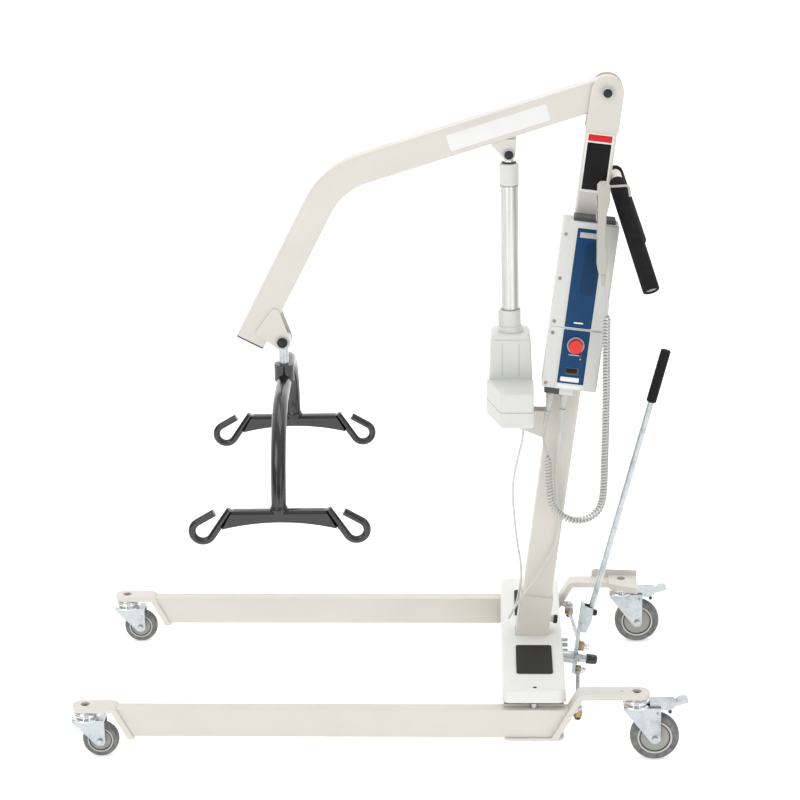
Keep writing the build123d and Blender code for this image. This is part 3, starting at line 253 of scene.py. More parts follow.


# Darker copy of the white plastic: painted shade for the case's sloped right-hand flank.
WHITE_PAINTED_SHADE = plastic("white_painted_shade", (0.585, 0.585, 0.555))
CREAM = painted("cream_paint", (0.665, 0.635, 0.58))
WHITE = plastic("white_plastic", (0.665, 0.672, 0.64))
WHITE_PAINT = painted("white_cover", (0.76, 0.765, 0.735), 0.45)
ZINC = zinc("zinc_plate")
BRASS = zinc("brass_ball", (0.44, 0.33, 0.16), 0.3)
CHROME = brushed("chrome_rod", (0.80, 0.81, 0.82), 0.12, (300, 300, 20))
ALUMINIUM = brushed("aluminium_tube", (0.66, 0.66, 0.64), 0.34, (260, 260, 6))
GLOSS_BLACK = painted("gloss_black", (0.008, 0.008, 0.009), 0.15, 0.75)
BLACK_PLASTIC = plastic("black_plastic", (0.012, 0.012, 0.013), 0.38)
# Near black for the kingpin bolts: painted shade of the dark counterbored hole they sit in.
KINGPIN_PAINTED_SHADE = plastic("kingpin_bolt_painted_shade", (0.016, 0.015, 0.014), 0.45, 500, 0.00004, 0.2)
SCREW_STEEL = zinc("screw_steel", (0.36, 0.33, 0.26), 0.35)
DARK_PLASTIC = plastic("dark_plastic", (0.065, 0.072, 0.082), 0.45)
GREY_PLASTIC = plastic("grey_plastic", (0.55, 0.55, 0.52), 0.42)
CORD_GREY = plastic("cord_grey", (0.62, 0.62, 0.585), 0.40, 400)
COIL_GREY = plastic("coil_grey", (0.53, 0.53, 0.51), 0.35, 400)
FOAM = rubber("black_foam", (0.0125, 0.0125, 0.0135), 0.85, 900, 0.0003)
TYRE = rubber("grey_tyre", (0.175, 0.178, 0.168), 0.6, 300, 0.0001)
HANDSET_GREY = plastic("handset_grey", (0.47, 0.46, 0.405))
HUB = plastic("wheel_hub", (0.36, 0.355, 0.325), 0.5, 500)
HUB_RING = plastic("wheel_ring", (0.54, 0.54, 0.55), 0.4, 500)
MAT_RUBBER = ribbed("ribbed_rubber", (0.020, 0.0195, 0.019), 60)
LABEL_WHITE = plastic("label_white", (0.80, 0.80, 0.79), 0.3, 300, 0.00001)
LABEL_RED = plastic("label_red", (0.66, 0.022, 0.026), 0.3, 300, 0.00001, 0.15)
LABEL_DARK = plastic("label_dark", (0.010, 0.010, 0.011), 0.3, 300, 0.00001, 0.15)
LABEL_GREY = plastic("label_grey", (0.48, 0.50, 0.51), 0.3, 300, 0.00001)
# Darker blue: painted shade for the finger recess in the battery panel.
BLUE_PAINTED_SHADE = plastic("blue_recess_painted_shade", (0.0070, 0.036, 0.090), 0.35, 500, 0.00002, 0.15)
DOT = plastic("dot_green", (0.42, 0.42, 0.16), 0.5)
SEAM = plastic("seam_grey", (0.33, 0.33, 0.31), 0.6, 300)
GROOVE = plastic("groove_dark", (0.05, 0.05, 0.055), 0.6, 300)
RED = plastic("red_button", (0.74, 0.028, 0.020), 0.22, 300, 0.00002)
BLUE = plastic("blue_label", (0.0085, 0.052, 0.140), 0.35, 500, 0.00002, 0.15)

NODE_MATERIALS = {
    "base_cover": WHITE_PAINT, "foot_pads": MAT_RUBBER, "base_bolts": ZINC, "mast_clamp_knob": BLACK_PLASTIC,
    "push_grips": FOAM, "battery": WHITE, "battery_handle": DARK_PLASTIC, "controller": WHITE,
    "socket_block": DARK_PLASTIC, "handset_plug": GREY_PLASTIC, "actuator_plug": GREY_PLASTIC,
    "handset": HANDSET_GREY, "handset_coil": COIL_GREY, "handset_cord_ends": CORD_GREY, "actuator_cable": CORD_GREY,
    "lever_shaft": ZINC, "lever_plate": ZINC, "lever_rod": ZINC, "lever_grip": FOAM, "tie_rod_left": ZINC,
    "tie_rod_right": ZINC, "hanger": ZINC, "boom_end_cap": BLACK_PLASTIC, "boom_bolts": BLACK_PLASTIC,
    # The kingpin bolts take the near-black painted shade of their holes.
    "caster_bolts_left": KINGPIN_PAINTED_SHADE, "caster_bolts_right": KINGPIN_PAINTED_SHADE, "stop_button": RED,
    "handset_button_up": GREY_PLASTIC, "handset_button_down": GREY_PLASTIC, "actuator_rod": CHROME,
    "actuator_tube": ALUMINIUM, "actuator_tube_fittings": WHITE, "actuator_housing": WHITE, "actuator_motor_pod": WHITE,
    "spreader_arch": GLOSS_BLACK, "spreader_crossbar_left": GLOSS_BLACK, "spreader_crossbar_right": GLOSS_BLACK,
}


def material_of(node):
    """The finish of a CAD node."""
    if node in NODE_MATERIALS:
        return NODE_MATERIALS[node]
    for start, material in (("caster_fork", ZINC), ("wheel", TYRE), ("brake_pedal", ZINC)):
        if node.startswith(start):
            return material
    return CREAM


def smooth(mesh, angle=35):
    """Smooth shading with creases where faces meet at more than angle degrees."""
    for face in mesh.polygons:
        face.use_smooth = True
    work = bmesh.new()
    work.from_mesh(mesh)
    for edge in work.edges:
        edge.smooth = len(edge.link_faces) == 2 and edge.calc_face_angle(pi) < radians(angle)
    work.to_mesh(mesh)
    work.free()


def dress_cad():
    """Give every CAD node its finish."""
    for name, node in NODES.items():
        node.data.materials.clear()
        node.data.materials.append(material_of(name))


# ---------------------------------------------------------------- cords
CABLE_R, COIL_CORD_R, COIL_TURN_R = 2.5, 2.4, 6.0
COIL_PITCH, COIL_EASE = 0.0069, 0.014
PLUG_LEAD = [(345.2, -50, 658.5), (339.0, -50, 632.0), (335.5, -51, 606.0), (339.0, -55, 586.0),
             (345.5, -60, 574.0)]
COIL = [(345.5, -60, 574.0), (349.5, -60, 466.0), (371.0, -61, 436.0), (406.0, -63, 423.0),
        (440.0, -66, 435.0), (460.5, -70, 466.0), (461.5, -84, 560.0), (462.5, -104, 700.0),
        (459.0, -130, 893.0)]
HANDSET_LEAD = [(459.0, -130, 893.0), (463.0, -130, 905.0), (459.5, -130, 925.0), (452.0, -130, 949.0)]
ACTUATOR_CABLE = [(295.5, -75, 650.2), (295.0, -75, 626.0), (291.0, -72, 596.0), (281.7, -66, 557.8),
                  (274.3, -58, 514.0), (273.0, -50, 473.5), (275.6, -43, 439.8), (279.1, -35, 401.0),
                  (282.8, -28, 365.7), (287.4, -22, 337.4), (291.0, -15, 308.5), (292.4, -9, 280.5),
                  (289.8, -4, 255.0), (286.0, 0, 232.0), (281.5, 0.5, 211.0), (273.5, -3.5, 195.0),
                  (266.5, -13.5, 187.0), (264.5, -29, 190.0), (268.5, -39, 203.0), (278.5, -44, 223.5),
                  (291.0, -45, 244.0), (309.0, -43, 268.0), (330.2, -39, 298.3), (350.6, -34, 336.2),
                  (366.0, -30.5, 369.0), (371.5, -29, 405.0), (369.4, -28.5, 441.0), (364.8, -28.5, 481.1),
                  (363.8, -29, 525.7), (366.5, -35, 567.4), (371.2, -44, 609.8), (376.0, -50, 670.8)]


def route_curve(name, points_mm, radius_mm):
    """Smooth cord: a NURBS spline of order 3 through its end points."""
    curve = bpy.data.curves.new(name, "CURVE")
    curve.dimensions = "3D"
    curve.resolution_u = 16
    curve.bevel_depth = radius_mm * MM
    curve.bevel_resolution = 5
    curve.use_fill_caps = True
    spline = curve.splines.new("NURBS")
    spline.points.add(len(points_mm) - 1)
    for point, place in zip(spline.points, points_mm):
        point.co = (*(c * MM for c in place), 1)
    spline.order_u = 3
    spline.use_endpoint_u = True
    cord = bpy.data.objects.new(name, curve)
    SCENE.collection.objects.link(cord)
    return cord


def route_points(name, points_mm):
    """Places along a route's NURBS spline, in metres."""
    cord = route_curve(name, points_mm, 0)
    cord.data.bevel_depth = 0
    cord.data.use_fill_caps = False
    cord.data.resolution_u = 40
    bpy.context.view_layer.update()
    mesh = bpy.data.meshes.new_from_object(cord)
    points = [v.co.copy() for v in mesh.vertices]
    bpy.data.meshes.remove(mesh)
    bpy.data.objects.remove(cord)
    return points


# ---------------------------------------------------------------- mesh helpers
def axes(origin, across, up):
    """Placing matrix whose x is across, y is up and z is square to both; origin in mm."""
    x = Vector(across).normalized()
    y = Vector(up)
    y = (y - x * y.dot(x)).normalized()
    place = Matrix((x, y, x.cross(y))).transposed().to_4x4()
    place.translation = Vector(origin) * MM
    return place


def along(origin, direction):
    """Placing matrix whose z points in a direction; origin in mm."""
    z = Vector(direction).normalized()
    x = z.orthogonal().normalized()
    place = Matrix((x, z.cross(x), z)).transposed().to_4x4()
    place.translation = Vector(origin) * MM
    return place


def turned(profile, segments=48, start=0.0):
    """Surface turned about z from (radius, height) points in mm; six segments make a hexagon."""
    work = bmesh.new()
    rings = []
    for radius, height in profile:
        count = segments if radius > 0 else 1
        rings.append([work.verts.new((radius * MM * cos(start + 2 * pi * k / segments),
                                      radius * MM * sin(start + 2 * pi * k / segments), height * MM))
                      for k in range(count)])
    for low, high in zip(rings, rings[1:]):
        for k in range(segments):
            corners = [low[k % len(low)], low[(k + 1) % len(low)],
                       high[(k + 1) % len(high)], high[k % len(high)]]
            work.faces.new(list(dict.fromkeys(corners)))
    return work


def rounded(width, height, radius, centre=(0, 0), steps=5):
    """Outline of a rounded rectangle in mm."""
    points = []
    for quarter, (sx, sy) in enumerate(((1, 1), (-1, 1), (-1, -1), (1, -1))):
        for k in range(steps + 1):
            angle = pi / 2 * (quarter + k / steps)
            points.append((centre[0] + sx * (width / 2 - radius) + radius * cos(angle),
                           centre[1] + sy * (height / 2 - radius) + radius * sin(angle)))
    return points


def plate(outline, low, high, soften=0.0):
    """Flat outline raised between two heights in mm, its upper rim rounded off."""
    work = bmesh.new()
    base = work.faces.new([work.verts.new((x * MM, y * MM, low * MM)) for x, y in outline])
    grown = bmesh.ops.extrude_face_region(work, geom=[base])["geom"]
    top = [v for v in grown if isinstance(v, bmesh.types.BMVert)]
    bmesh.ops.translate(work, verts=top, vec=(0, 0, (high - low) * MM))
    if soften:
        raised = set(top)
        rim = [e for e in work.edges if e.verts[0] in raised and e.verts[1] in raised]
        bmesh.ops.bevel(work, geom=rim, offset=soften * MM, segments=3, profile=0.5, affect="EDGES")
    return work


def holed(outline, centre, radius, thick, steps=12):
    """Thin plate with one round hole, sizes in mm."""
    dense = []
    for (x0, y0), (x1, y1) in zip(outline, outline[1:] + outline[:1]):
        parts = steps if hypot(x1 - x0, y1 - y0) > 8 else 1
        dense += [(x0 + (x1 - x0) * k / parts, y0 + (y1 - y0) * k / parts) for k in range(parts)]
    work = bmesh.new()
    rims = []
    for z in (0, thick):
        outer = [work.verts.new((x * MM, y * MM, z * MM)) for x, y in dense]
        turns = [atan2(y - centre[1], x - centre[0]) for x, y in dense]
        inner = [work.verts.new(((centre[0] + radius * cos(t)) * MM, (centre[1] + radius * sin(t)) * MM, z * MM))
                 for t in turns]
        rims.append((outer, inner))
    (low_out, low_in), (top_out, top_in) = rims
    for k in range(len(dense)):
        j = (k + 1) % len(dense)
        work.faces.new((low_out[k], low_out[j], low_in[j], low_in[k]))
        work.faces.new((top_out[k], top_in[k], top_in[j], top_out[j]))
        work.faces.new((low_out[k], top_out[k], top_out[j], low_out[j]))
        work.faces.new((low_in[k], low_in[j], top_in[j], top_in[k]))
    return work


def tube_along(points, radii, sides=10):
    """Round tube through points in metres, with one radius in mm for each."""
    work = bmesh.new()
    normal = (points[1] - points[0]).orthogonal().normalized()
    rings = []
    for i, (point, radius) in enumerate(zip(points, radii)):
        ahead = (points[min(i + 1, len(points) - 1)] - points[max(i - 1, 0)]).normalized()
        normal = (normal - ahead * normal.dot(ahead)).normalized()
        other = ahead.cross(normal)
        rings.append([work.verts.new(point + (normal * cos(2 * pi * k / sides) + other * sin(2 * pi * k / sides))
                                     * radius * MM) for k in range(sides)])
    for low, high in zip(rings, rings[1:]):
        for k in range(sides):
            work.faces.new((low[k], low[k - 1], high[k - 1], high[k]))
    work.faces.new(rings[0])
    work.faces.new(rings[-1])
    return work


def piece(name, work, material, body, place=None, replaces=(), angle=35):
    """Finished object from a bmesh, placed, smoothed, dressed and riding on a body."""
    bmesh.ops.recalc_face_normals(work, faces=work.faces)
    mesh = bpy.data.meshes.new(name)
    work.to_mesh(mesh)
    work.free()
    if place is not None:
        mesh.transform(place)
    smooth(mesh, angle)
    obj = bpy.data.objects.new(name, mesh)
    SCENE.collection.objects.link(obj)
    mesh.materials.append(material)
    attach(obj, body)
    if replaces:
        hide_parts(*replaces)
    return obj


def mirrored(profile):
    """Half profile continued below the middle plane."""
    return profile + [(radius, -height) for radius, height in reversed(profile)]


PAN_HEAD = [(0, 0.5), (1.1, 0.5), (1.3, 1.7), (2.2, 1.75), (3.3, 1.2), (3.8, 0)]
HEX_NUT = [(0, 6.0), (5.6, 6.0), (7.2, 5.2), (7.2, 0.0)]


# ---------------------------------------------------------------- casters
CASTERS = {"front_left": (-603.0, -295.0, 37.5, 29.0, 24.0, 101.0),
           "front_right": (-603.0, 295.0, 37.5, 29.0, 24.0, 101.0),
           "rear_left": (522.0, -300.0, 50.0, 37.0, 28.0, 135.0),
           "rear_right": (522.0, 300.0, 50.0, 37.0, 28.0, 135.0)}


def dress_caster(name, x, y, radius, trail, width, mount):
    """Tyre with a raised ring and hub, axle nuts, rivet, and swivel race of one caster."""
    half = width / 2
    cheek = half + 4
    body = f"wheel_{name}"
    axle = axes((x + trail, y, radius), (1, 0, 0), (0, 0, 1))
    tyre = [(0.705 * radius, half - 3.0), (0.71 * radius, half - 0.9), (0.76 * radius, half - 0.3),
            (0.84 * radius, half), (0.90 * radius, half - 0.7), (0.945 * radius, half - 2.3),
            (0.975 * radius, half - 4.8), (0.993 * radius, half - 7.8), (radius, half - 10.5)]
    piece(f"tyre_{name}", turned(mirrored(tyre), 72), TYRE, body, axle, (f"wheel_{name}",))
    ring = [(0.625 * radius, half - 4.5), (0.632 * radius, half - 0.9), (0.645 * radius, half - 0.2),
            (0.685 * radius, half - 0.1), (0.705 * radius, half - 0.8), (0.706 * radius, half - 4.5)]
    piece(f"wheel_ring_{name}", turned(mirrored(ring), 72), HUB_RING, body, axle)
    hub = [(4.06, cheek - 0.4), (0.20 * radius, cheek - 0.4), (0.235 * radius, cheek - 1.2),
           (0.25 * radius, half - 3.0), (0.30 * radius, half - 3.4), (0.55 * radius, half - 2.8),
           (0.585 * radius, half - 1.8), (0.605 * radius, half - 1.9), (0.61 * radius, half - 4.8),
           (0.63 * radius, half - 4.9)]
    piece(f"hub_{name}", turned(mirrored(hub) + hub[:1], 64), HUB, body, axle)
    groove = [(0.578 * radius, half - 4.0), (0.580 * radius, half - 1.2), (0.630 * radius, half - 1.2),
              (0.632 * radius, half - 4.0)]
    piece(f"wheel_groove_{name}", turned(mirrored(groove), 64), GROOVE, body, axle)
    fork = f"caster_{name}"
    for hand in (-1, 1):
        nut = along((x + trail, y + hand * (cheek + 5.8), radius), (0, hand, 0))
        piece(f"axle_nut_{name}_{'far' if hand > 0 else 'near'}",
              turned([(0, 3.6), (3.2, 3.6), (5.9, 3.1), (6.3, 2.6), (6.3, 0)], 6), ZINC, fork, nut, angle=20)
    race = [(20.6, -0.4), (21.6, -2.2), (24.6, -4.0), (26.0, -6.2), (26.0, -8.0), (24.8, -9.8), (22.6, -11.6),
            (23.2, -12.4), (28.4, -14.2), (29.2, -15.4), (29.0, -17.2)]
    piece(f"swivel_race_{name}", turned(race, 64), CHROME, fork, along((x, y, mount - 0.3), (0, 0, 1)))
    if name.startswith("rear"):
        for hand in (-1, 1):
            rivet = along((x + 41, y + hand * (cheek + 2.4), mount - 28), (0, hand, 0))
            piece(f"fork_rivet_{name}_{'far' if hand > 0 else 'near'}",
                  turned([(0, 1.5), (1.2, 1.4), (2.3, 0.9), (2.8, 0)], 20), BRASS, fork, rivet)
        roller = along((x + 67, y - 9, mount - 30.5), (0, 1, 0))
        piece(f"brake_roller_{name}", turned([(0, 0), (3.3, 0), (3.8, 0.6), (3.8, 17.4), (3.3, 18), (0, 18)], 24),
              DARK_PLASTIC, fork, roller)


# ---------------------------------------------------------------- mast, boom and labels
LEAN = radians(7.14)
PIVOT = Vector((461.0, 0.0, 1317.3))
ACROSS = Vector((cos(LEAN), 0, -sin(LEAN)))
UP_MAST = Vector((sin(LEAN), 0, cos(LEAN)))


def mast_axes(across, up, y):
    """Placing matrix on the mast's near side: x across it, y up it, z to the near side."""
    return axes(PIVOT + ACROSS * across + UP_MAST * up + Vector((0, y, 0)), ACROSS, UP_MAST)


def sticker(name, outline, material, body, place, thick=0.25, lift=0.0):
    return piece(name, plate(outline, lift, lift + thick, 0.1), material, body, place)


def cap_bolt(name, place, radius, height, body, ring):
    """Black push-on bolt cap in a light washer ring."""
    piece(name, turned([(0, height), (radius * 0.55, height), (radius * 0.86, height - 0.8),
                        (radius, height - 2.2), (radius, 0)]), BLACK_PLASTIC, body, place)
    piece(f"{name}_ring", turned([(radius, 0), (radius, 1.3), (radius + 0.5, 1.8), (ring - 0.5, 1.8), (ring, 1.2),
                                  (ring, 0)]), ZINC, body, place)


def dress_upper():
    """Labels and pivot caps of the boom and mast."""
    boom_run = Vector((552.8, 0, 173.9))
    boom_label = axes((243.9, -20.02, 1247.0), boom_run, (0, 0, 1))
    sticker("boom_label", rounded(210, 34, 5), LABEL_WHITE, "boom", boom_label)
    mast_label = mast_axes(-1.5, -128, -22.02)
    sticker("mast_label", rounded(55, 120, 2, (0, -17)), LABEL_WHITE, "base", mast_label, 0.2)
    sticker("mast_label_bar", rounded(48, 13.5, 0.6, (0, 34)), LABEL_RED, "base", mast_label, 0.1, 0.21)
    sticker("mast_label_panel", rounded(48, 96, 0.6, (0, -24)), LABEL_DARK, "base", mast_label, 0.1, 0.21)
    for hand, word in ((-1, "near"), (1, "far")):
        pivot = along((461.0, hand * 33.4, 1317.3), (0, hand, 0))
        cap_bolt(f"pivot_cap_{word}", pivot, 8.6, 5.0, "base", 11.5)


# ---------------------------------------------------------------- control box
def dress_box():
    """Blue panels, plain plates, display, lamps and screws of the battery and controller, with painted shade in the
    battery panel's recess and on the right-hand flanks.
    """
    face = -77.52
    screws = {"battery": (-284, -376, -466), "base": (-490, -597)}
    for body, places in screws.items():
        for up in places:
            for side, across in (("a", -47.0), ("b", 50.0)):
                place = mast_axes(across, up, -75.0)
                piece(f"case_screw_{abs(up)}_{side}", turned(PAN_HEAD, 24), SCREW_STEEL, body, place)
    sticker("battery_panel", rounded(54, 206.4, 2.0), BLUE, "battery", mast_axes(2, -370.8, face), 0.5)
    # Dark blue patch on the flat panel: painted shade standing in for the finger recess.
    sticker("battery_recess_painted_shade", rounded(30, 108, 7.0), BLUE_PAINTED_SHADE, "battery", mast_axes(10, -350, face), 0.15, 0.5)
    sticker("battery_plate", rounded(42, 11, 0.8), LABEL_GREY, "battery", mast_axes(2, -281, face), 0.15, 0.5)
    sticker("battery_mark", rounded(19, 3.0, 1.0), LABEL_WHITE, "battery", mast_axes(2, -463.5, face), 0.15, 0.5)
    piece("controller_panel", holed(rounded(54, 113.8, 2.0), (1, 24.9), 15.3, 0.5), BLUE, "base",
          mast_axes(2, -535.9, face))
    sticker("display_frame", rounded(27, 15, 1.2), DARK_PLASTIC, "base", mast_axes(3, -566, face), 0.5, 0.5)
    sticker("display_window", rounded(22, 9.5, 0.8), LABEL_DARK, "base", mast_axes(1.5, -565, face), 0.2, 1.0)
    sticker("controller_plate", rounded(38, 9.5, 1.0), LABEL_WHITE, "base", mast_axes(0, -584, face), 0.2, 0.5)
    sticker("controller_mark", rounded(22, 2.2, 0.9), LABEL_GREY, "base", mast_axes(2, -531.5, face), 0.15, 0.5)
    piece("lamp_red", turned([(0, 1.2), (1.3, 1.0), (1.9, 0)], 20), RED, "base", mast_axes(16, -531.5, face - 0.5))
    piece("lamp_clear", turned([(0, 1.1), (1.2, 0.9), (1.8, 0)], 20), LABEL_GREY, "base",
          mast_axes(16, -539, face - 0.5))
    # Darker white strips right of both panels: painted shade where the sloped flank turns from the light.
    sticker("battery_flank_painted_shade", rounded(24.0, 217, 3), WHITE_PAINTED_SHADE, "battery", mast_axes(42.6, -366, face), 0.12)
    sticker("controller_flank_painted_shade", rounded(24.0, 125, 3), WHITE_PAINTED_SHADE, "base", mast_axes(42.6, -541.5, face), 0.12)
    for name, start, end in (("handset", (345.2, -50, 662), (338.6, -50, 630.5)),
                             ("actuator", (375.6, -50, 666), (371.6, -44.8, 613.5))):
        span = (Vector(end) - Vector(start)).length
        relief = [(2.3, 0), (6.6, 0)]
        for k in range(7):
            at, reach = 3 + k * (span - 8) / 7, 6.6 - 0.32 * k
            relief += [(reach, at), (reach - 0.8, at + 0.6), (reach - 0.8, at + 1.8), (reach - 0.2, at + 2.4)]
        relief += [(3.9, span), (2.3, span)]
        piece(f"{name}_strain_relief", turned(relief, 32), GREY_PLASTIC, "base",
              along(start, Vector(end) - Vector(start)))
    piece("stop_button_ring", turned([(15.0, 0), (15.0, 1.0), (15.6, 1.6), (17.0, 1.6), (17.6, 0.8), (17.6, 0)]),
          LABEL_GREY, "base", mast_axes(3, -511, face - 0.5))
    knob = [(0, 7.0), (4.0, 6.6), (4.4, 7.4), (8.6, 7.1), (9.0, 6.2), (9.6, 6.9), (12.4, 6.0), (13.8, 4.4),
            (14.3, 2.2), (14.6, 0.0)]
    piece("stop_button_face", turned(knob, 64), RED, "stop_button", mast_axes(3, -511, face - 7.9))
    piece("socket_cover", plate(rounded(29.5, 16.5, 2.5, (-2.2, -614.2)), -0.2, 28.6, 1.2), WHITE, "base",
          mast_axes(0, 0, -35.8))
    sticker("lower_case_label", rounded(46, 7, 1), LABEL_WHITE, "base", mast_axes(-1, -599.4, face), 0.12)


# ---------------------------------------------------------------- handset
def dress_handset():
    """Keypad surround, arrows and strain relief of the hand control."""
    for up, word, turn in ((1120.0, "up", 1), (1090.0, "down", -1)):
        frame_place = axes((438.48, -130.0, up), (0, -1, 0), (0, 0, 1))
        inner = rounded(23, 17, 4.4)
        work = bmesh.new()
        rims = []
        for size, high in ((rounded(30, 24, 5), 0.0), (rounded(29.4, 23.4, 4.8), 0.6), (inner, 0.6), (inner, 0.0)):
            rims.append([work.verts.new((x * MM, y * MM, high * MM)) for x, y in size])
        for low, high in zip(rims, rims[1:]):
            for k in range(len(low)):
                work.faces.new((low[k - 1], low[k], high[k], high[k - 1]))
        piece(f"key_surround_{word}", work, BLUE, "base", frame_place)
        arrow = [(-5, -3.2 * turn), (5, -3.2 * turn), (0, 4.2 * turn)][::turn]
        sticker(f"key_arrow_{word}", arrow, LABEL_WHITE, f"handset_button_{word}",
                axes((436.5, -130.0, up), (0, -1, 0), (0, 0, 1)), 0.25)
    relief = []
    for k in range(6):
        high = -4 - k * 4.2
        radius = 5.6 - k * 0.35
        relief += [(radius, high), (radius, high - 2.6), (radius - 1.1, high - 2.9), (radius - 1.1, high - 4.0)]
    piece("handset_strain_relief", turned([(0, 2), (6.4, 2), (6.4, -3.6)] + relief + [(2.6, -30.5), (0, -30.5)], 32),
          HANDSET_GREY, "base", along((452.0, -130.0, 979.0), (0, 0, 1)))


# ---------------------------------------------------------------- actuator
def dress_actuator():
    """Pin caps, seams, gland and tube fittings of the actuator."""
    down = Vector((5.6, 0, -555.4)).normalized()
    upper = Vector((265.4, 0, 1191.4))
    for hand, word in ((-1, "near"), (1, "far")):
        cap_bolt(f"upper_pin_cap_{word}", along((265.4, hand * 19.0, 1191.4), (0, hand, 0)), 8.8, 3.2, "boom", 11.0)
        cap_bolt(f"hanger_cap_{word}", along((-201.0, hand * 26.0, 803.0), (0, hand, 0)), 10.6, 4.6, "boom", 12.6)
    gland = [(0, 0.6), (9.0, 0.6), (9.0, -1.2), (7.6, -1.6), (7.6, -4.0), (5.6, -4.4), (5.0, -8.0), (4.6, -8.2),
             (4.4, -12.0), (4.0, -12.2), (3.6, -16.5), (2.4, -17.0)]
    piece("cable_gland", turned(gland, 32), GREY_PLASTIC, "actuator_body", along((295.5, -75, 653), (0, 0, 1)))
    for name, x in (("left", 251.5), ("right", 286.0)):
        sticker(f"housing_line_{name}", rounded(0.9, 70, 0.4), SEAM, "actuator_body",
                axes((x, -38.02, 768), (1, 0, 0), (0, 0, 1)), 0.12)
    sticker("housing_lid_line", rounded(70, 1.0, 0.45), SEAM, "actuator_body",
            axes((269.5, -38.02, 810.5), (1, 0, 0), (0, 0, 1)), 0.12)
    belt = bmesh.new()
    outline = [(219.0, -39.0), (246.2, -134.6), (248.6, -138.6), (252.8, -140.25), (309.6, -140.25),
               (313.8, -138.4), (315.35, -134.2), (316.3, -39.0)]
    rims = [[belt.verts.new((x * MM, y * MM, z * MM)) for x, y in outline] for z in (685.6, 686.8)]
    for k in range(len(outline) - 1):
        belt.faces.new((rims[0][k], rims[0][k + 1], rims[1][k + 1], rims[1][k]))
    piece("pod_seam", belt, SEAM, "actuator_body")
    for name, depth, radius, high in (("tube_seal", 64.5, 19.2, 1.8), ("tube_seal_low", 322.0, 19.4, 3.0)):
        piece(name, turned([(18.3, 0), (radius, 0.3), (radius, high), (18.3, high + 0.3)], 48), SEAM, "actuator_body",
              along(upper + down * depth, down))
    wiper = [(10.1, 0.0), (14.5, 0.0), (15.2, -0.8), (15.2, -2.4), (10.1, -2.6)]
    piece("rod_wiper", turned(wiper, 40), BLACK_PLASTIC, "actuator_body", along(upper + down * 20, down))


# ---------------------------------------------------------------- lever gear
SHAFT_TILT = radians(6.9)
SHAFT = Vector((cos(SHAFT_TILT), 0, -sin(SHAFT_TILT)))
PLATE_UP = Vector((sin(SHAFT_TILT), 0, cos(SHAFT_TILT)))
SHAFT_CENTRE = Vector((408.3, 0, 88.0))


def shaft_place(forward, high):
    return along(SHAFT_CENTRE + SHAFT * forward + PLATE_UP * high, SHAFT)


def dress_lever():
    """Nuts, brass ball joints, washers and rubber cap of the leg-spreading lever."""
    for high, rod in ((-28, "tie_rod_left"), (28, "tie_rod_right")):
        piece(f"{rod}_bush", turned([(5.2, 0), (9.9, 0), (10.4, 0.8), (10.4, 11.0), (9.9, 11.8), (5.2, 11.8)], 40),
              BRASS, rod, shaft_place(3.6, high))
        piece(f"{rod}_nut", turned([(0, 4.6), (6.6, 4.6), (8.0, 3.9), (8.0, 0)], 6), CHROME, "lever",
              shaft_place(15.8, high), angle=20)
        piece(f"{rod}_acorn", turned([(0, 8.0), (2.4, 7.6), (4.8, 6.1), (6.2, 3.8), (6.7, 1.6), (6.8, 0)], 32), CHROME,
              "lever", shaft_place(20.2, high))
    piece("shaft_washer", turned([(8.1, 0), (13.6, 0), (13.9, 0.5), (13.9, 1.6), (8.1, 1.6)], 40), CHROME, "base",
          shaft_place(3.6, 0))
    piece("shaft_nut", turned([(0, 9.0), (8.6, 9.0), (9.6, 8.2), (9.6, 0)], 6), ZINC, "base",
          shaft_place(5.6, 0), angle=20)
    cap = [(0, 24.2), (5.4, 24.0), (8.4, 22.6), (10.2, 20.2), (10.7, 16.6), (10.7, 1.0), (10.1, 0.0)]
    piece("shaft_cap_skin", turned(cap, 48), GLOSS_BLACK, "base", shaft_place(23.8, 0))
    for hand, word in ((-1, "left"), (1, "right")):
        ball = along((404.0, hand * 268.0, 86.0), (0, 0, 1))
        low = [(0, -18.0), (3.0, -17.6), (5.8, -15.6), (6.8, -12.6), (7.0, -9.4), (0, -9.4)]
        piece(f"ball_cap_{word}", turned(low, 36), BLACK_PLASTIC, f"tie_rod_{word}", ball)
        top = 7.0 if word == "left" else 4.4
        body = [(0, -9.6), (8.2, -9.6), (9.4, -8.6), (9.9, -3.0), (9.6, top - 2.6), (7.6, top), (0, top)]
        piece(f"ball_housing_{word}", turned(body, 40), BRASS, f"tie_rod_{word}", ball)
        nut = along((404.0, hand * 268.0, 98.1), (0, 0, 1))
        piece(f"ball_nut_{word}", turned(HEX_NUT, 6), ZINC, f"leg_{word}", nut, angle=20)
        piece(f"ball_stud_{word}", turned([(0, 8.8), (3.2, 8.6), (4.0, 7.6), (4.0, 0)], 24), CHROME,
              f"leg_{word}", nut)
    for k, (dy, dz) in enumerate(((22, 120), (24, 107), (22, 94))):
        stub = along((366.0, dy, dz), (1, 0, 0))
        piece(f"beam_stub_{k}", turned([(0, 27.0), (3.6, 27.0), (4.4, 26.2), (4.4, 15.0), (5.6, 14.6), (5.6, 0.8),
                                        (5.0, 0.0)], 24), ZINC, "base", stub)
    knob = along((441.0, 0, 194.0), (1, 0, -0.2))
    piece("rod_knob", turned([(0, 14.0), (4.0, 13.6), (6.4, 12.0), (7.2, 9.0), (7.2, 3.6), (6.0, 2.4), (4.0, 0)], 32),
          BLACK_PLASTIC, "lever", knob)


SPREADER_X, CROSSBAR_Y, SPREADER_TURN = -201.0, 305.0, radians(1.7)


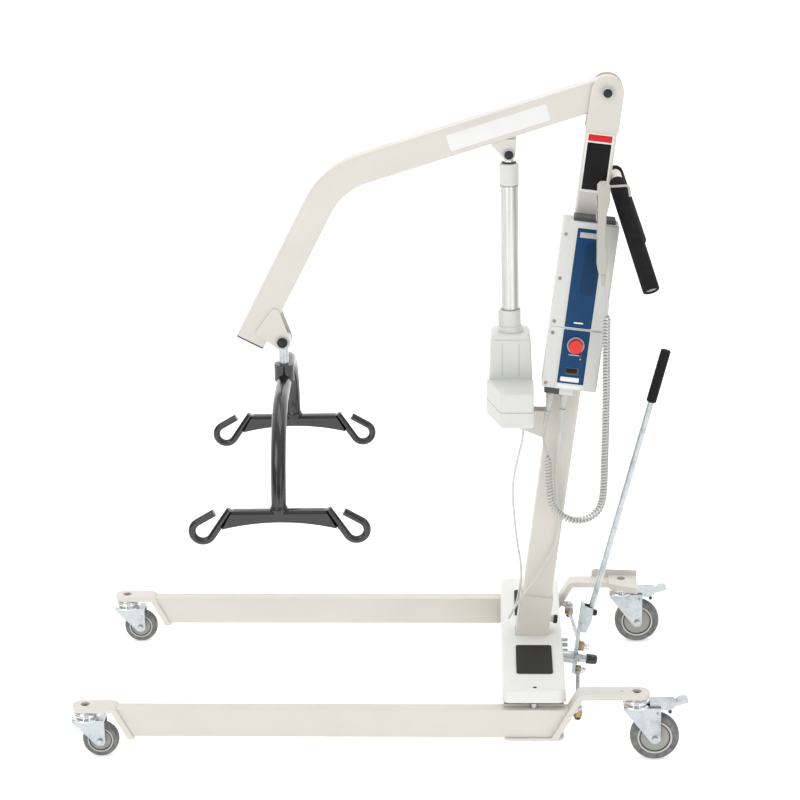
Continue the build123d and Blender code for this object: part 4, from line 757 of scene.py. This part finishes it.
def dress_spreader():
    """Welded foot of the arch on each crossbar."""
    for hand, word in ((-1, "left"), (1, "right")):
        foot = along((SPREADER_X - hand * CROSSBAR_Y * sin(SPREADER_TURN), hand * CROSSBAR_Y * cos(SPREADER_TURN),
                      519.6), (0, 0, 1))
        bead = [(0, 30.0), (15.15, 30.0), (16.4, 27.4), (17.6, 25.2), (18.4, 22.4), (17.8, 20.2), (14.9, 19.4),
                (14.9, 0.6), (14.2, 0.0)]
        piece(f"arch_foot_{word}", turned(bead, 56), GLOSS_BLACK, "spreader", foot)


CLAMP_KNOB_ALONG, CLAMP_KNOB_ACROSS, KNOB_LOBES, KNOB_POINTS = -1143, 42.8, 6, 60


def dress_base():
    """Cover screws, lobed socket knob and a touch-up dot."""
    for hand, word in ((-1, "left"), (1, "right")):
        piece(f"cover_screw_{word}", turned([(0, -0.8), (1.2, -0.8), (1.5, 0.5), (3.2, 0.5), (4.2, 0.0)], 24),
              BLACK_PLASTIC, "base", along((316, hand * 290, 150.0), (0, 0, 1)))
    knob_place = along(PIVOT + ACROSS * CLAMP_KNOB_ACROSS + UP_MAST * CLAMP_KNOB_ALONG, ACROSS)
    lobes = []
    for k in range(KNOB_POINTS):
        angle = 2 * pi * k / KNOB_POINTS
        reach = 9.2 + 0.6 * cos(KNOB_LOBES * angle)
        lobes.append((reach * cos(angle), reach * sin(angle)))
    piece("clamp_knob_skin", plate(lobes, -0.1, 8.2, 1.6), BLACK_PLASTIC, "clamp_knob", knob_place)
    piece("touch_up_dot", plate(rounded(6, 6, 2.9), 0, 0.08), DOT, "leg_left",
          axes((492, -300, 147.02), (1, 0, 0), (0, 1, 0)))


# ---------------------------------------------------------------- cord pieces
def curly_cord():
    """Hand control cord: plain lead, close helix and plain lead, as one tube along the route."""
    route = route_points("handset_route", PLUG_LEAD + COIL[1:] + HANDSET_LEAD[1:])
    reach = [0.0]
    for a, b in zip(route, route[1:]):
        reach.append(reach[-1] + (b - a).length)
    starts = [min(range(len(route)), key=lambda i: (route[i] - Vector(end) * MM).length)
              for end in (COIL[0], COIL[-1])]
    first, last = reach[starts[0]], reach[starts[1]]
    turns = round((last - first) / COIL_PITCH)
    steps = 14
    normal = Vector((0, 1, 0))
    line, i = [], 0
    plain = [p for p, s in zip(route, reach) if s < first]
    for step in range(turns * steps + 1):
        place = first + (last - first) * step / (turns * steps)
        while i < len(reach) - 2 and reach[i + 1] < place:
            i += 1
        share = (place - reach[i]) / (reach[i + 1] - reach[i])
        centre = route[i].lerp(route[i + 1], share)
        ahead = (route[i + 1] - route[i]).normalized()
        normal = (normal - ahead * normal.dot(ahead)).normalized()
        ease = min(1.0, (place - first) / COIL_EASE, (last - place) / COIL_EASE)
        ease = ease * ease * (3 - 2 * ease)
        angle = 2 * pi * step / steps
        line.append(centre + (normal * cos(angle) + ahead.cross(normal) * sin(angle)) * COIL_TURN_R * ease * MM)
    line = plain[:-1] + line + [p for p, s in zip(route, reach) if s > last][1:]
    line = [line[0]] + [b for a, b in zip(line, line[1:]) if (b - a).length > 0.0004]
    cord = piece("handset_cord", tube_along(line, [COIL_CORD_R] * len(line), 9), COIL_GREY, "base",
                 replaces=("handset_coil", "handset_cord_ends"), angle=60)


def actuator_cord():
    """Thin cable from the motor pod to the plug under the controller."""
    cable = route_curve("actuator_cord", ACTUATOR_CABLE, CABLE_R)
    cable.data.materials.append(CORD_GREY)
    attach(cable, "base")
    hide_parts("actuator_cable")


place_camera()
actuator_cord()
curly_cord()
place_stage()
dress_cad()
for caster, sizes in CASTERS.items():
    dress_caster(caster, *sizes)
dress_upper()
dress_box()
dress_handset()
dress_actuator()
dress_lever()
dress_spreader()
dress_base()
